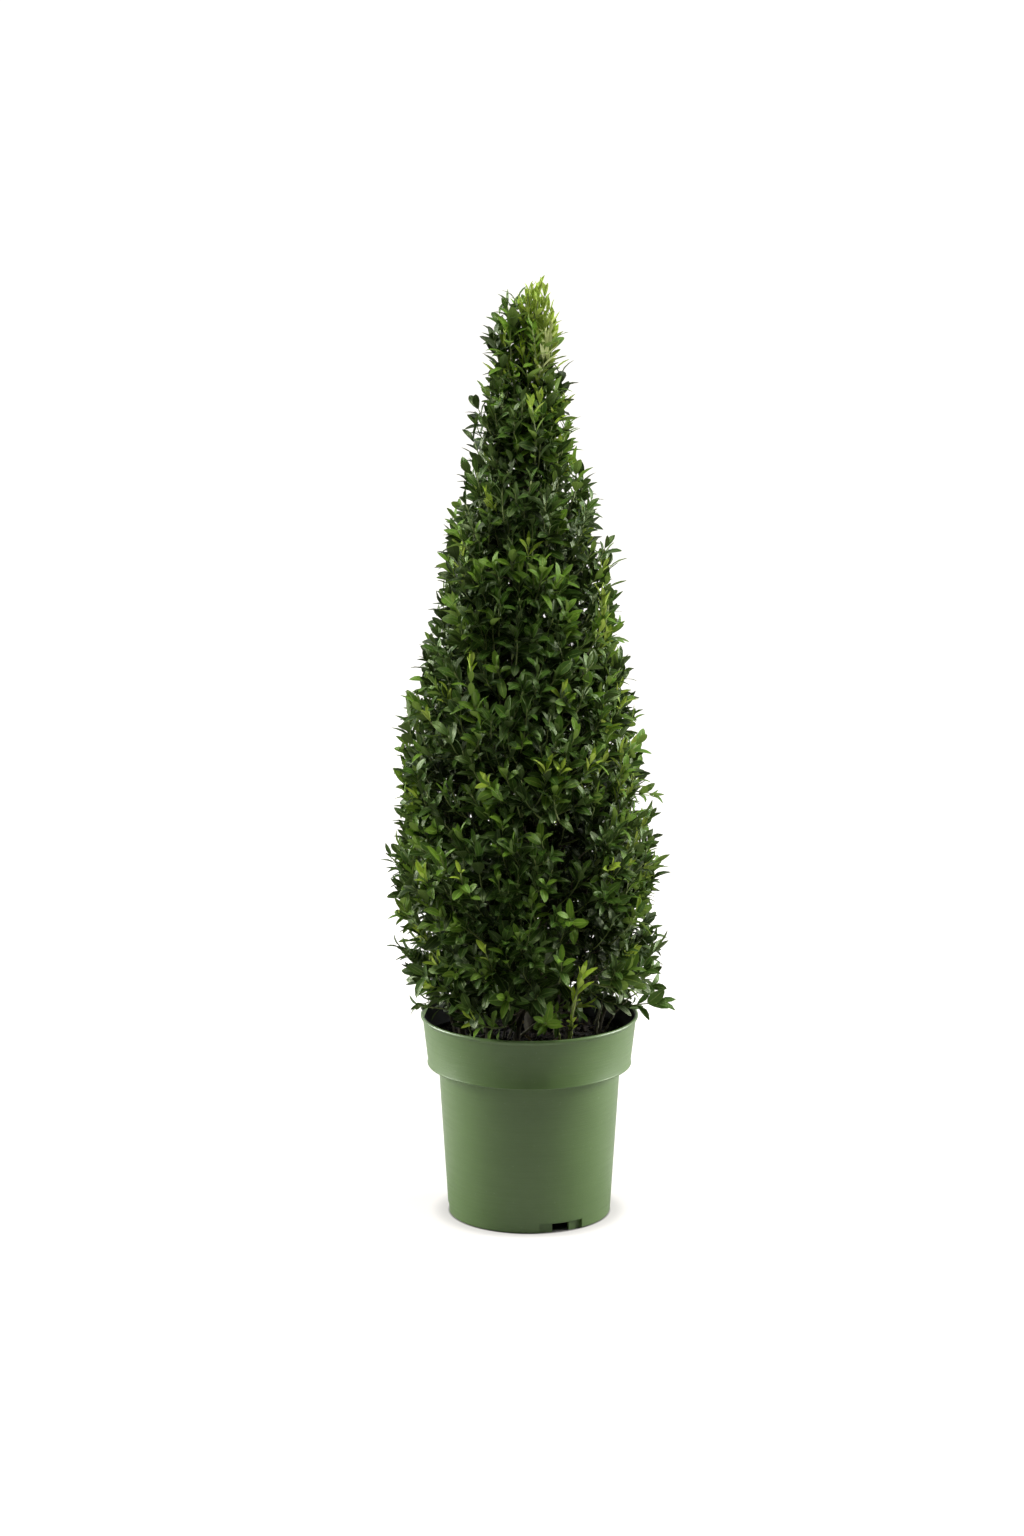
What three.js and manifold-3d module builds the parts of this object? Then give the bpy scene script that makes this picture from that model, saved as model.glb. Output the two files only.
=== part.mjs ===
// A boxwood trained to a cone, growing in a green plastic nursery pot.
// Units are millimetres and +Z is up. The origin is on the ground under the middle of the pot.
// The front of the plant faces -Y, and +X is to its right as it is seen from the front.
// Bearings are in degrees round the pot's axis: 0 is the front, 90 the right, 180 the back.

import * as THREE from 'three';
import { mergeVertices } from 'three/addons/utils/BufferGeometryUtils.js';
import Module from 'manifold-3d';

const wasm = await Module();
wasm.setup();

// Clearance left between neighbours that touch.
const TOUCH = 0.4;

// Pot: a thin conical wall with a wide collar, a rolled lip and a raised floor on a foot ring.
const POT_SIDES = 32;
const WALL = 1.6;
const RIM_Z = 188.7;
const LIP_R = 100;
const LIP_HALF = 1.3;
const COLLAR_TOP_R = 98.2;
const COLLAR_FOOT_R = 93.4;
const COLLAR_FOOT_Z = 141.5;
const SHOULDER_DROP = 2.5;
const BODY_TOP_R = 83.4;
const BODY_FOOT_R = 74.8;
const FOOT_ROUND = 2;
const FOOT_RING_INNER_R = 68.6;
const FLOOR_Z = 9.2;
const FLOOR_THICKNESS = 1.6;

// Drain cut-outs: shallow recesses in the foot ring, each with a notch right through it,
// and round holes in the raised floor.
const RECESS_BEARINGS = [23.4, 143.4, 263.4];
const RECESS_WIDTH = 33;
const RECESS_DEPTH = 3.5;
const RECESS_TOP_Z = 9.4;
const NOTCH_WIDTH = 13.4;
const NOTCH_TOP_Z = 7.6;
const DRAIN_HOLES = 8;
const DRAIN_R = 5;
const DRAIN_RING_R = 48;

// Potting soil.
const SOIL_Z = 168;

// Crown: the clipped cone that the leaves fill. It leans a little to the left of the pot.
const CROWN_FOOT_Z = 198;
const WIDEST_Z = 330;
const WIDEST_R = 122.5;
const FOOT_PULL = 12;
const VANISHING_Z = 892;
const CROWN_SHIFT = 6;
const CROWN_LEAN = -6;
const LEAN_FROM_Z = 200;
const LEAN_FULL_Z = 340;
const TIP_SHIFT = 10;
const TIP_SHIFT_Z = 800;
const TIP_Z = 862;
const TUFT_DEPTH = 5;
const MASS_GAP = 1.6;
const EDGE_SHARPNESS = 13;

// Main stem, from the soil up into the tip.
const STEM_R = 7.5;
const STEM_TIP_R = 1.4;
const STEM_TIP_Z = 838;
const FLARE = 0.6;
const FLARE_HEIGHT = 14;

// Side stems, from the soil up into the underside of the crown.
const SIDE_STEM_TOP_Z = 214;
const SIDE_STEM_TAPER = 0.62;

const LEAF_GREEN = new THREE.Color(0.028, 0.062, 0.015);
const SHOOT_GREEN = new THREE.Color(0.22, 0.32, 0.05);
const BARK_BROWN = new THREE.Color(0.11, 0.085, 0.05);
const SOIL_BROWN = new THREE.Color(0.016, 0.012, 0.009);
const POT_GREEN = new THREE.Color(0.1, 0.16, 0.065);

const topiary = new THREE.Group();

function addPart(name, geometry, color, roughness) {
  geometry.computeVertexNormals();
  const material = new THREE.MeshStandardMaterial({ color, roughness, metalness: 0 });
  const mesh = new THREE.Mesh(geometry, material);
  mesh.name = name;
  topiary.add(mesh);
}

// A closed geometry as a solid that can be cut and joined.
function solidFrom(geometry) {
  const bare = geometry.clone();
  bare.deleteAttribute('normal');
  bare.deleteAttribute('uv');
  const welded = mergeVertices(bare, 1e-4);
  const corners = welded.index.array;
  const kept = [];
  for (let i = 0; i < corners.length; i += 3) {
    const [a, b, c] = [corners[i], corners[i + 1], corners[i + 2]];
    if (a !== b && b !== c && c !== a) kept.push(a, b, c);
  }
  return new wasm.Manifold(new wasm.Mesh({
    numProp: 3,
    vertProperties: new Float32Array(welded.attributes.position.array),
    triVerts: new Uint32Array(kept),
  }));
}

function geometryFrom(solid) {
  const mesh = solid.getMesh();
  const geometry = new THREE.BufferGeometry();
  geometry.setAttribute('position', new THREE.BufferAttribute(new Float32Array(mesh.vertProperties), 3));
  geometry.setIndex(new THREE.BufferAttribute(new Uint32Array(mesh.triVerts), 1));
  return geometry;
}

// A direction on the ground at a bearing.
function heading(bearing) {
  const angle = THREE.MathUtils.degToRad(bearing);
  return new THREE.Vector3(Math.sin(angle), -Math.cos(angle), 0);
}

function mix(a, b, t) {
  return a + (b - a) * Math.min(Math.max(t, 0), 1);
}

function ease(from, to, value) {
  return THREE.MathUtils.smoothstep(value, from, to);
}

// Points of a quarter or half round, from one angle to another, in the plane of a profile.
function round(x, z, radius, fromDegrees, toDegrees, steps) {
  return Array.from({ length: steps + 1 }, (_, i) => {
    const angle = THREE.MathUtils.degToRad(mix(fromDegrees, toDegrees, i / steps));
    return new THREE.Vector2(x + radius * Math.cos(angle), z + radius * Math.sin(angle));
  });
}

// A profile of radius and height turned round the pot's axis.
function turned(profile) {
  return new THREE.LatheGeometry(profile, POT_SIDES).rotateX(Math.PI / 2);
}

// A block that fills part of a ring: between two radii and two heights, centred on a bearing.
function ringSector(innerR, outerR, bearing, width, bottomZ, topZ) {
  const middle = THREE.MathUtils.degToRad(bearing - 90);
  const half = THREE.MathUtils.degToRad(width / 2);
  const outline = new THREE.Shape();
  outline.absarc(0, 0, outerR, middle - half, middle + half, false);
  outline.absarc(0, 0, innerR, middle + half, middle - half, true);
  const block = new THREE.ExtrudeGeometry(outline, {
    depth: topZ - bottomZ,
    bevelEnabled: false,
    curveSegments: 3,
  });
  return block.translate(0, 0, bottomZ);
}

// The inside of the pot's wall from its floor up, drawn in by a clearance.
function innerWall(clearance) {
  const shoulderZ = COLLAR_FOOT_Z - SHOULDER_DROP + WALL;
  return [
    new THREE.Vector2(BODY_FOOT_R - WALL - clearance, FLOOR_Z + FLOOR_THICKNESS + clearance),
    new THREE.Vector2(BODY_TOP_R - WALL - clearance, shoulderZ + clearance),
    new THREE.Vector2(COLLAR_FOOT_R - WALL - clearance, COLLAR_FOOT_Z + WALL + clearance),
    new THREE.Vector2(COLLAR_TOP_R - WALL - clearance, RIM_Z - 2 * LIP_HALF),
  ];
}

function nurseryPot() {
  const floorTop = FLOOR_Z + FLOOR_THICKNESS;
  const profile = [
    new THREE.Vector2(0, FLOOR_Z),
    new THREE.Vector2(FOOT_RING_INNER_R, FLOOR_Z),
    new THREE.Vector2(FOOT_RING_INNER_R, 0),
    ...round(BODY_FOOT_R - FOOT_ROUND, FOOT_ROUND, FOOT_ROUND, -90, 0, 3),
    new THREE.Vector2(BODY_TOP_R, COLLAR_FOOT_Z - SHOULDER_DROP),
    ...round(COLLAR_FOOT_R - 1, COLLAR_FOOT_Z, 1, -90, 0, 2),
    new THREE.Vector2(COLLAR_TOP_R, RIM_Z - 2.6 * LIP_HALF),
    ...round(LIP_R - LIP_HALF, RIM_Z - LIP_HALF, LIP_HALF, -30, 150, 4),
    ...innerWall(0).reverse(),
    new THREE.Vector2(0, floorTop),
  ];
  let pot = solidFrom(turned(profile));
  for (const bearing of RECESS_BEARINGS) {
    const recessR = BODY_FOOT_R - RECESS_DEPTH;
    const recess = ringSector(recessR, BODY_FOOT_R + 5, bearing, RECESS_WIDTH, -1, RECESS_TOP_Z);
    const notch = ringSector(FOOT_RING_INNER_R - 5, recessR + 1, bearing, NOTCH_WIDTH, -1, NOTCH_TOP_Z);
    pot = pot.subtract(solidFrom(recess)).subtract(solidFrom(notch));
  }
  for (let i = 0; i < DRAIN_HOLES; i += 1) {
    const place = heading((i * 360) / DRAIN_HOLES).multiplyScalar(DRAIN_RING_R);
    const hole = new THREE.CylinderGeometry(DRAIN_R, DRAIN_R, 6 * FLOOR_THICKNESS, 8);
    hole.rotateX(Math.PI / 2).translate(place.x, place.y, FLOOR_Z);
    pot = pot.subtract(solidFrom(hole));
  }
  return geometryFrom(pot);
}

function pottingSoil() {
  const side = innerWall(TOUCH);
  const [below, above] = side.slice(-2);
  const top = below.clone().lerp(above, (SOIL_Z - below.y) / (above.y - below.y));
  const profile = [
    new THREE.Vector2(0, side[0].y),
    ...side.slice(0, -1),
    top,
    new THREE.Vector2(0, SOIL_Z),
  ];
  return turned(profile);
}

// The middle of the crown, and of the main stem in it, at a height.
function leaderAt(z) {
  const lean = mix(CROWN_SHIFT, CROWN_LEAN, ease(LEAN_FROM_Z, LEAN_FULL_Z, z));
  const shift = TIP_SHIFT * ease(TIP_SHIFT_Z, TIP_Z, z);
  return new THREE.Vector3(lean + shift, 2.5 * Math.sin(z / 90), z);
}

// The clipped cone's radius at a height, before the tufts.
function coneRadius(z) {
  if (z < WIDEST_Z) {
    const down = (WIDEST_Z - z) / (WIDEST_Z - CROWN_FOOT_Z);
    return WIDEST_R - FOOT_PULL * down ** 3;
  }
  const up = Math.min((z - WIDEST_Z) / (VANISHING_Z - WIDEST_Z), 1);
  return WIDEST_R * (1 - up ** 1.3) ** 0.9;
}

// How far the tufts stand out at a place on the cone, from -1 to 1.
function tuftSwell(angle, z) {
  return 0.45 * Math.sin(3 * angle + z / 41)
    + 0.3 * Math.sin(5 * angle - z / 23 + 1.3)
    + 0.25 * Math.sin(2 * angle + z / 13 + 4);
}

function isInsideCone(point) {
  const leader = leaderAt(point.z);
  const [x, y] = [point.x - leader.x, point.y - leader.y];
  return Math.hypot(x, y) < coneRadius(point.z) + TUFT_DEPTH * tuftSwell(Math.atan2(y, x), point.z);
}

// How far the cone's surface is from a place inside it, in a direction.
function reachToCone(start, direction) {
  let [inner, outer] = [0, 2 * VANISHING_Z];
  for (let distance = 4; distance < outer; distance += 4) {
    const inside = isInsideCone(start.clone().addScaledVector(direction, distance));
    inner = inside ? distance : inner;
    outer = inside ? outer : distance;
  }
  for (let i = 0; i < 8; i += 1) {
    const middle = (inner + outer) / 2;
    const inside = isInsideCone(start.clone().addScaledVector(direction, middle));
    [inner, outer] = inside ? [middle, outer] : [inner, middle];
  }
  return inner;
}

// The walls between masses. A level wall has its own small tilt, and a mass keeps half a gap from it.
function levelWall(level, side) {
  const normal = new THREE.Vector3(-level.tilt * 0.8, level.tilt, 1).normalize().multiplyScalar(side);
  const point = leaderAt(level.z).addScaledVector(normal, -MASS_GAP / 2);
  return new THREE.Plane().setFromNormalAndCoplanarPoint(normal, point);
}

function uprightWall(z, bearing, side) {
  const normal = heading(bearing + 90).multiplyScalar(side);
  const point = leaderAt(z).addScaledVector(normal, -MASS_GAP / 2);
  return new THREE.Plane().setFromNormalAndCoplanarPoint(normal, point);
}

// One mass of foliage: from a place inside it, every direction reaches to the nearest of the
// cone's surface and the walls, with the edges between them rounded.
function foliageMass({ floor, roof, bearing, width }, grow = 0) {
  const middleZ = mix(floor.z, roof.z, 0.47);
  const centre = leaderAt(middleZ);
  const walls = [levelWall(floor, -1), levelWall(roof, 1)];
  if (width < 360) {
    centre.addScaledVector(heading(bearing), 0.52 * coneRadius(middleZ));
    walls.push(uprightWall(middleZ, bearing + width / 2, 1));
    walls.push(uprightWall(middleZ, bearing - width / 2, -1));
  }
  const spread = width < 360 ? 0.9 : 1.8;
  const [across, tall] = [spread * coneRadius(middleZ), roof.z - floor.z];
  const mass = new THREE.BoxGeometry(across, across, tall, 5, 5, 5);
  mass.rotateZ(THREE.MathUtils.degToRad(bearing));
  const places = mass.attributes.position;
  const direction = new THREE.Vector3();
  for (let i = 0; i < places.count; i += 1) {
    direction.fromBufferAttribute(places, i).normalize();
    const reaches = walls
      .map((wall) => -wall.distanceToPoint(centre) / wall.normal.dot(direction))
      .filter((reach) => reach > 0);
    reaches.push(reachToCone(centre, direction));
    const crowding = reaches.reduce((sum, reach) => sum + reach ** -EDGE_SHARPNESS, 0);
    const reach = crowding ** (-1 / EDGE_SHARPNESS) + grow;
    places.setXYZ(i, ...centre.clone().addScaledVector(direction, reach).toArray());
  }
  return solidFrom(mass);
}

// A thin pad of leaves: a flattened, uneven blob that points along a bearing.
function sprayPad({ centre, size, bearing, rise }) {
  const pad = new THREE.IcosahedronGeometry(1, 2);
  const places = pad.attributes.position;
  const place = new THREE.Vector3();
  for (let i = 0; i < places.count; i += 1) {
    place.fromBufferAttribute(places, i);
    const uneven = 1 - 0.09 * (1 + Math.sin(5 * place.x + 2) * Math.cos(4 * place.y + 1));
    place.multiplyScalar(uneven);
    places.setXYZ(i, place.x * size[0], place.y * size[1], place.z * size[2]);
  }
  pad.rotateY(-THREE.MathUtils.degToRad(rise));
  pad.rotateZ(THREE.MathUtils.degToRad(bearing - 90));
  pad.translate(...centre);
  return solidFrom(pad);
}

// A tapering limb along a route, with level rings and flat ends.
function limb(route, radiusAt, sides, steps) {
  const geometry = new THREE.CylinderGeometry(1, 1, 1, sides, steps).rotateX(Math.PI / 2);
  const places = geometry.attributes.position;
  for (let i = 0; i < places.count; i += 1) {
    const along = Math.min(Math.max(places.getZ(i) + 0.5, 0), 1);
    const middle = route(along);
    const radius = radiusAt(along);
    places.setXYZ(i, middle.x + radius * places.getX(i), middle.y + radius * places.getY(i), middle.z);
  }
  return geometry;
}

// The root flare of a stem at a height above the soil, as a share of its radius.
function flareAt(height) {
  return 1 + FLARE * Math.exp(-height / FLARE_HEIGHT);
}

function mainStem(spare = 0) {
  const foot = SOIL_Z + TOUCH;
  const route = (along) => leaderAt(mix(foot, STEM_TIP_Z, along) + (along === 1 ? spare : 0));
  const radius = (along) => {
    const height = along * (STEM_TIP_Z - foot);
    return mix(STEM_R, STEM_TIP_R, along) * flareAt(height) + spare;
  };
  return limb(route, radius, 8, 22);
}

// One side stem: it leaves the soil steeply, bows outwards and enters the crown's underside.
function sideStem({ foot, lean, radius }, spare = 0) {
  const [start, height] = [SOIL_Z + TOUCH, SIDE_STEM_TOP_Z - SOIL_Z - TOUCH];
  const route = (along) => new THREE.Vector3(
    foot[0] + lean[0] * along ** 1.6,
    foot[1] + lean[1] * along ** 1.6,
    start + height * along + (along === 1 ? spare : 0),
  );
  const radiusAt = (along) => radius * mix(1, SIDE_STEM_TAPER, along) * flareAt(height * along) + spare;
  return limb(route, radiusAt, 6, 6);
}

// The levels that part the tiers of foliage, each with its own tilt.
const LEVELS = {
  foot: { z: CROWN_FOOT_Z, tilt: 0.02 },
  lower: { z: 384, tilt: 0.1 },
  middle: { z: 548, tilt: -0.12 },
  upper: { z: 701, tilt: 0.08 },
  top: { z: 787, tilt: -0.1 },
  oldTip: { z: 855, tilt: 0.1 },
  tip: { z: TIP_Z + MASS_GAP / 2, tilt: 0 },
};

// Each tier: the levels it lies between, the bearing of its first mass, and its masses in turn.
const TIERS = [
  {
    floor: LEVELS.foot, roof: LEVELS.lower, first: -9,
    masses: ['lower_front', 'lower_right', 'lower_back_right', 'lower_back_left', 'lower_left'],
  },
  {
    floor: LEVELS.lower, roof: LEVELS.middle, first: 8,
    masses: ['middle_front', 'middle_right', 'middle_back', 'middle_left'],
  },
  {
    floor: LEVELS.middle, roof: LEVELS.upper, first: -16,
    masses: ['upper_front', 'upper_back_right', 'upper_back_left'],
  },
  { floor: LEVELS.upper, roof: LEVELS.top, first: 0, masses: ['top'] },
  { floor: LEVELS.top, roof: LEVELS.tip, first: 90, masses: ['tip_right', 'tip_left'] },
];

// Sprays that stand out of the cone: over the rim on the right and the left, and from the right side.
const SPRAYS = [
  { name: 'spray_low_right', centre: [104, -22, 199], size: [29, 21, 7], bearing: 84, rise: 4 },
  { name: 'spray_low_left', centre: [-92, -24, 198.5], size: [23, 19, 6.5], bearing: -84, rise: 4 },
  { name: 'spray_side_right', centre: [110, -16, 391], size: [15, 13, 8], bearing: 80, rise: 30 },
];

// Side stems, by the place of the foot, how far the top leans from it, and the thickness.
const SIDE_STEMS = [
  { name: 'side_stem_front', foot: [-12, -34], lean: [10, -12], radius: 2.6 },
  { name: 'side_stem_front_left', foot: [-36, -30], lean: [-8, -14], radius: 3 },
  { name: 'side_stem_left', foot: [-62, -8], lean: [-10, -6], radius: 2.2 },
  { name: 'side_stem_front_right', foot: [35, -32], lean: [8, -10], radius: 2.4 },
  { name: 'side_stem_right', foot: [62, -14], lean: [15, -6], radius: 2.2 },
  { name: 'side_stem_inner_right', foot: [24, 12], lean: [12, 8], radius: 3.4 },
  { name: 'side_stem_back_right', foot: [38, 46], lean: [12, 14], radius: 2.6 },
  { name: 'side_stem_back', foot: [-10, 58], lean: [-4, 16], radius: 2.4 },
  { name: 'side_stem_back_left', foot: [-44, 36], lean: [-14, 12], radius: 2.6 },
];

addPart('nursery_pot', nurseryPot(), POT_GREEN, 0.45);
addPart('potting_soil', pottingSoil(), SOIL_BROWN, 0.95);
addPart('main_stem', mainStem(), BARK_BROWN, 0.85);

let stemSpace = solidFrom(mainStem(TOUCH));
for (const stem of SIDE_STEMS) {
  addPart(stem.name, sideStem(stem), BARK_BROWN, 0.85);
  stemSpace = stemSpace.add(solidFrom(sideStem(stem, TOUCH)));
}

// The masses are cut round the stems, and the space that they take is kept for the sprays.
let massSpace = stemSpace;
for (const { floor, roof, first, masses } of TIERS) {
  const width = 360 / masses.length;
  masses.forEach((name, i) => {
    const isOldTip = name === 'tip_left';
    const shape = { floor, roof: isOldTip ? LEVELS.oldTip : roof, bearing: first + i * width, width };
    const color = name === 'tip_right' ? SHOOT_GREEN : LEAF_GREEN;
    addPart(`foliage_${name}`, geometryFrom(foliageMass(shape).subtract(stemSpace)), color, 0.5);
    massSpace = massSpace.add(foliageMass(shape, TOUCH));
  });
}

for (const spray of SPRAYS) {
  addPart(`foliage_${spray.name}`, geometryFrom(sprayPad(spray).subtract(massSpace)), LEAF_GREEN, 0.5);
}

export default topiary;
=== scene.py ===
"""A boxwood trained to a cone, in a green nursery pot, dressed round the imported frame.

Metres, +Z up, and the front of the plant faces -Y. A bearing runs round the main stem: 0 is the
front, 90 the right, 180 the back. Every twig grows from the stems by a seeded branching rule.
"""

import logging
import math
from dataclasses import dataclass, field
from enum import Enum

import bmesh
import bpy
import numpy as np
from mathutils import Matrix, Vector, noise
from mathutils.bvhtree import BVHTree


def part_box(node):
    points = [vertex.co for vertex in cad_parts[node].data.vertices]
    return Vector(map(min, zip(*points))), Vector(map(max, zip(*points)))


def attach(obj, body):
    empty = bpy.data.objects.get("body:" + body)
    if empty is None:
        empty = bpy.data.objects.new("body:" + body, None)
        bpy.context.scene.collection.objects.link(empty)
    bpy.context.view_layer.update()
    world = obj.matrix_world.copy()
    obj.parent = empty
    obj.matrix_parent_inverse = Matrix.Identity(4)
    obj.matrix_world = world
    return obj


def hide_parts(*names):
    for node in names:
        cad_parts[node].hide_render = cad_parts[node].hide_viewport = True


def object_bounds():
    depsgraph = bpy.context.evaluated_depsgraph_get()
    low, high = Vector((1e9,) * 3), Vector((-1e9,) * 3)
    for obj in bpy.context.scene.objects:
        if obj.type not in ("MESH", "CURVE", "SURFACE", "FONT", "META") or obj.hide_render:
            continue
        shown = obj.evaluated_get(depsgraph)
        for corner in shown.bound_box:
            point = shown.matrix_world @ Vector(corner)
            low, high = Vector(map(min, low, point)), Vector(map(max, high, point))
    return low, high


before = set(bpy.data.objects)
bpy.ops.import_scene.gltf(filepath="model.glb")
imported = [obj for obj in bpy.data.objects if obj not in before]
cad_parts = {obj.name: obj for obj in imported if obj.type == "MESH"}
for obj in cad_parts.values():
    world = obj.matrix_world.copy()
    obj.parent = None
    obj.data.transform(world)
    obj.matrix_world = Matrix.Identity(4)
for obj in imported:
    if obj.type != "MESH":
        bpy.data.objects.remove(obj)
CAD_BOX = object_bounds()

log = logging.getLogger("boxwood")

Color = tuple[float, float, float]
Socket = bpy.types.NodeSocket
Material = bpy.types.Material
Sketch = bmesh.types.BMesh
Array = np.ndarray
Rng = np.random.Generator

ROOT_BODY = "root"
SEED = 20591
MM = 0.001
GOLDEN_ANGLE = math.radians(137.508)
TONE = "tone"


class Slot(Enum):
    """Names of material slots."""

    POT = "pot_plastic"
    SOIL = "potting_soil"
    BARK = "bark"
    FOLIAGE = "foliage"
    YOUNG = "young_foliage"


class LeafAge(Enum):
    """What a leaf looks like for its age."""

    DARK = "dark"
    MATURE = "mature"
    FRESH = "fresh"
    YOUNG = "young"
    PALE = "pale"
    DRY = "dry"

    @property
    def is_young(self) -> bool:
        """Whether the leaf is narrow, upright and still soft."""
        return self in (LeafAge.YOUNG, LeafAge.PALE)


class Zone(Enum):
    """Tiers of the crown, by the start of their nodes' names."""

    LOWER = ("lower", ("foliage_lower_", "foliage_spray_low_"))
    MIDDLE = ("middle", ("foliage_middle_", "foliage_spray_side_"))
    UPPER = ("upper", ("foliage_upper_",))
    TIP = ("tip", ("foliage_top", "foliage_tip_"))

    @property
    def label(self) -> str:
        """Plain name of the tier."""
        return self.value[0]

    def nodes(self) -> list[str]:
        """Names of the foliage nodes in the tier."""
        return sorted(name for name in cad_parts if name.startswith(self.value[1]))


def side_stem_nodes() -> list[str]:
    """Names of the side stems' nodes."""
    return sorted(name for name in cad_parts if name.startswith("side_stem_"))


def seeded(*keys: int) -> Rng:
    """Random numbers that come out the same on each run for the same keys."""
    return np.random.default_rng([SEED, *keys])


def unit(vectors: Array) -> Array:
    """Vectors scaled to length 1 along their last axis."""
    return vectors / np.maximum(np.linalg.norm(vectors, axis=-1, keepdims=True), 1e-9)


def heading(bearing: Array | float) -> Array:
    """Level direction at a bearing in radians, or one for each bearing."""
    bearing = np.asarray(bearing, float)
    return np.stack([np.sin(bearing), -np.cos(bearing), np.zeros_like(bearing)], -1)


def aim(bearing: float, rise: float) -> Array:
    """Direction at a bearing that climbs at an angle."""
    return heading(bearing) * math.cos(rise) + np.array([0.0, 0.0, math.sin(rise)])


def smoothstep(low: float, high: float, value: float) -> float:
    """Soft step from 0 at low to 1 at high."""
    share = min(max((value - low) / (high - low), 0.0), 1.0)
    return share * share * (3.0 - 2.0 * share)


# ---- Shader nodes ----


class NodeSheet:
    """A node tree while it is laid out: adds nodes and wires them."""

    def __init__(self, tree: bpy.types.NodeTree) -> None:
        """Starts on an empty tree."""
        self.tree = tree
        tree.nodes.clear()

    def add(self, kind: str, **settings: object) -> bpy.types.Node:
        """Adds a node and gives it its settings.

        Args:
            kind: node type without the word ShaderNode.
            settings: attributes of the node.

        Returns:
            The node.
        """
        node = self.tree.nodes.new(kind if kind.startswith("Node") else f"ShaderNode{kind}")
        for name, value in settings.items():
            setattr(node, name, value)
        return node

    def feed(self, target: Socket, value: object) -> None:
        """Links a socket to an input, or sets a plain value on it."""
        if isinstance(value, bpy.types.NodeSocket):
            self.tree.links.new(value, target)
        elif isinstance(value, tuple) and len(value) == 3 and target.type == "RGBA":
            target.default_value = (*value, 1.0)
        else:
            target.default_value = value

    def math(self, operation: str, a: object, b: object = 0.0, clamp: bool = False) -> Socket:
        """Result of a Math node."""
        node = self.add("Math", operation=operation, use_clamp=clamp)
        self.feed(node.inputs[0], a)
        self.feed(node.inputs[1], b)
        return node.outputs[0]

    def blend(self, share: object, a: object, b: object, mode: str = "MIX") -> Socket:
        """Result of a colour Mix node: a where share is 0, b where it is 1."""
        node = self.add("Mix", data_type="RGBA", blend_type=mode, clamp_factor=True)
        self.feed(node.inputs[0], share)
        self.feed(node.inputs[6], a)
        self.feed(node.inputs[7], b)
        return node.outputs[2]

    def span(self, value: object, low: float, high: float, to_low: float, to_high: float) -> Socket:
        """Result of a Map Range node with soft ends."""
        node = self.add("MapRange", interpolation_type="SMOOTHSTEP")
        for index, entry in enumerate((value, low, high, to_low, to_high)):
            self.feed(node.inputs[index], entry)
        return node.outputs[0]

    def noise(self, vector: Socket, scale: object, detail: float = 2.0, rough: float = 0.5) -> Socket:
        """Value of a Noise Texture, about 0.5 on average."""
        node = self.add("TexNoise")
        self.feed(node.inputs["Vector"], vector)
        self.feed(node.inputs["Scale"], scale)
        self.feed(node.inputs["Detail"], detail)
        self.feed(node.inputs["Roughness"], rough)
        return node.outputs[0]

    def tone(self) -> Socket:
        """The tone of the leaf or limb that a face belongs to."""
        return self.add("Attribute", attribute_name=TONE, attribute_type="GEOMETRY").outputs["Fac"]

    def object_coordinates(self, stretch: tuple[float, float, float] = (1.0, 1.0, 1.0)) -> Socket:
        """Object coordinates, stretched by a Mapping node.

        Args:
            stretch: scale along each axis.

        Returns:
            The vector socket.
        """
        coordinates = self.add("TexCoord").outputs["Object"]
        mapping = self.add("Mapping")
        self.feed(mapping.inputs["Vector"], coordinates)
        mapping.inputs["Scale"].default_value = stretch
        return mapping.outputs[0]


class EffectGroup:
    """A shader node group with named inputs and outputs, built once and used in many materials."""

    name = "effect"
    inputs: dict[str, str] = {}
    outputs: dict[str, str] = {}

    def tree(self) -> bpy.types.NodeTree:
        """The group's node tree, made at its first use."""
        known = bpy.data.node_groups.get(self.name)
        if known:
            return known
        tree = bpy.data.node_groups.new(self.name, "ShaderNodeTree")
        sheet = NodeSheet(tree)
        for way, sockets in (("INPUT", self.inputs), ("OUTPUT", self.outputs)):
            for label, kind in sockets.items():
                tree.interface.new_socket(label, in_out=way, socket_type=f"NodeSocket{kind}")
        source = sheet.add("NodeGroupInput")
        sink = sheet.add("NodeGroupOutput")
        for label, result in self.wire(sheet, source.outputs).items():
            sheet.feed(sink.inputs[label], result)
        return tree

    def wire(self, sheet: NodeSheet, inlet: bpy.types.NodeOutputs) -> dict[str, Socket]:
        """Lays out the group's nodes and returns each output's socket."""
        raise NotImplementedError

    def place(self, sheet: NodeSheet, **values: object) -> bpy.types.NodeOutputs:
        """Places the group in a material.

        Args:
            sheet: the material's sheet.
            values: what each input gets, with _ for a space in its name.

        Returns:
            The group's outputs.
        """
        node = sheet.add("Group")
        node.node_tree = self.tree()
        for label, value in values.items():
            sheet.feed(node.inputs[label.replace("_", " ")], value)
        return node.outputs


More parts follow.
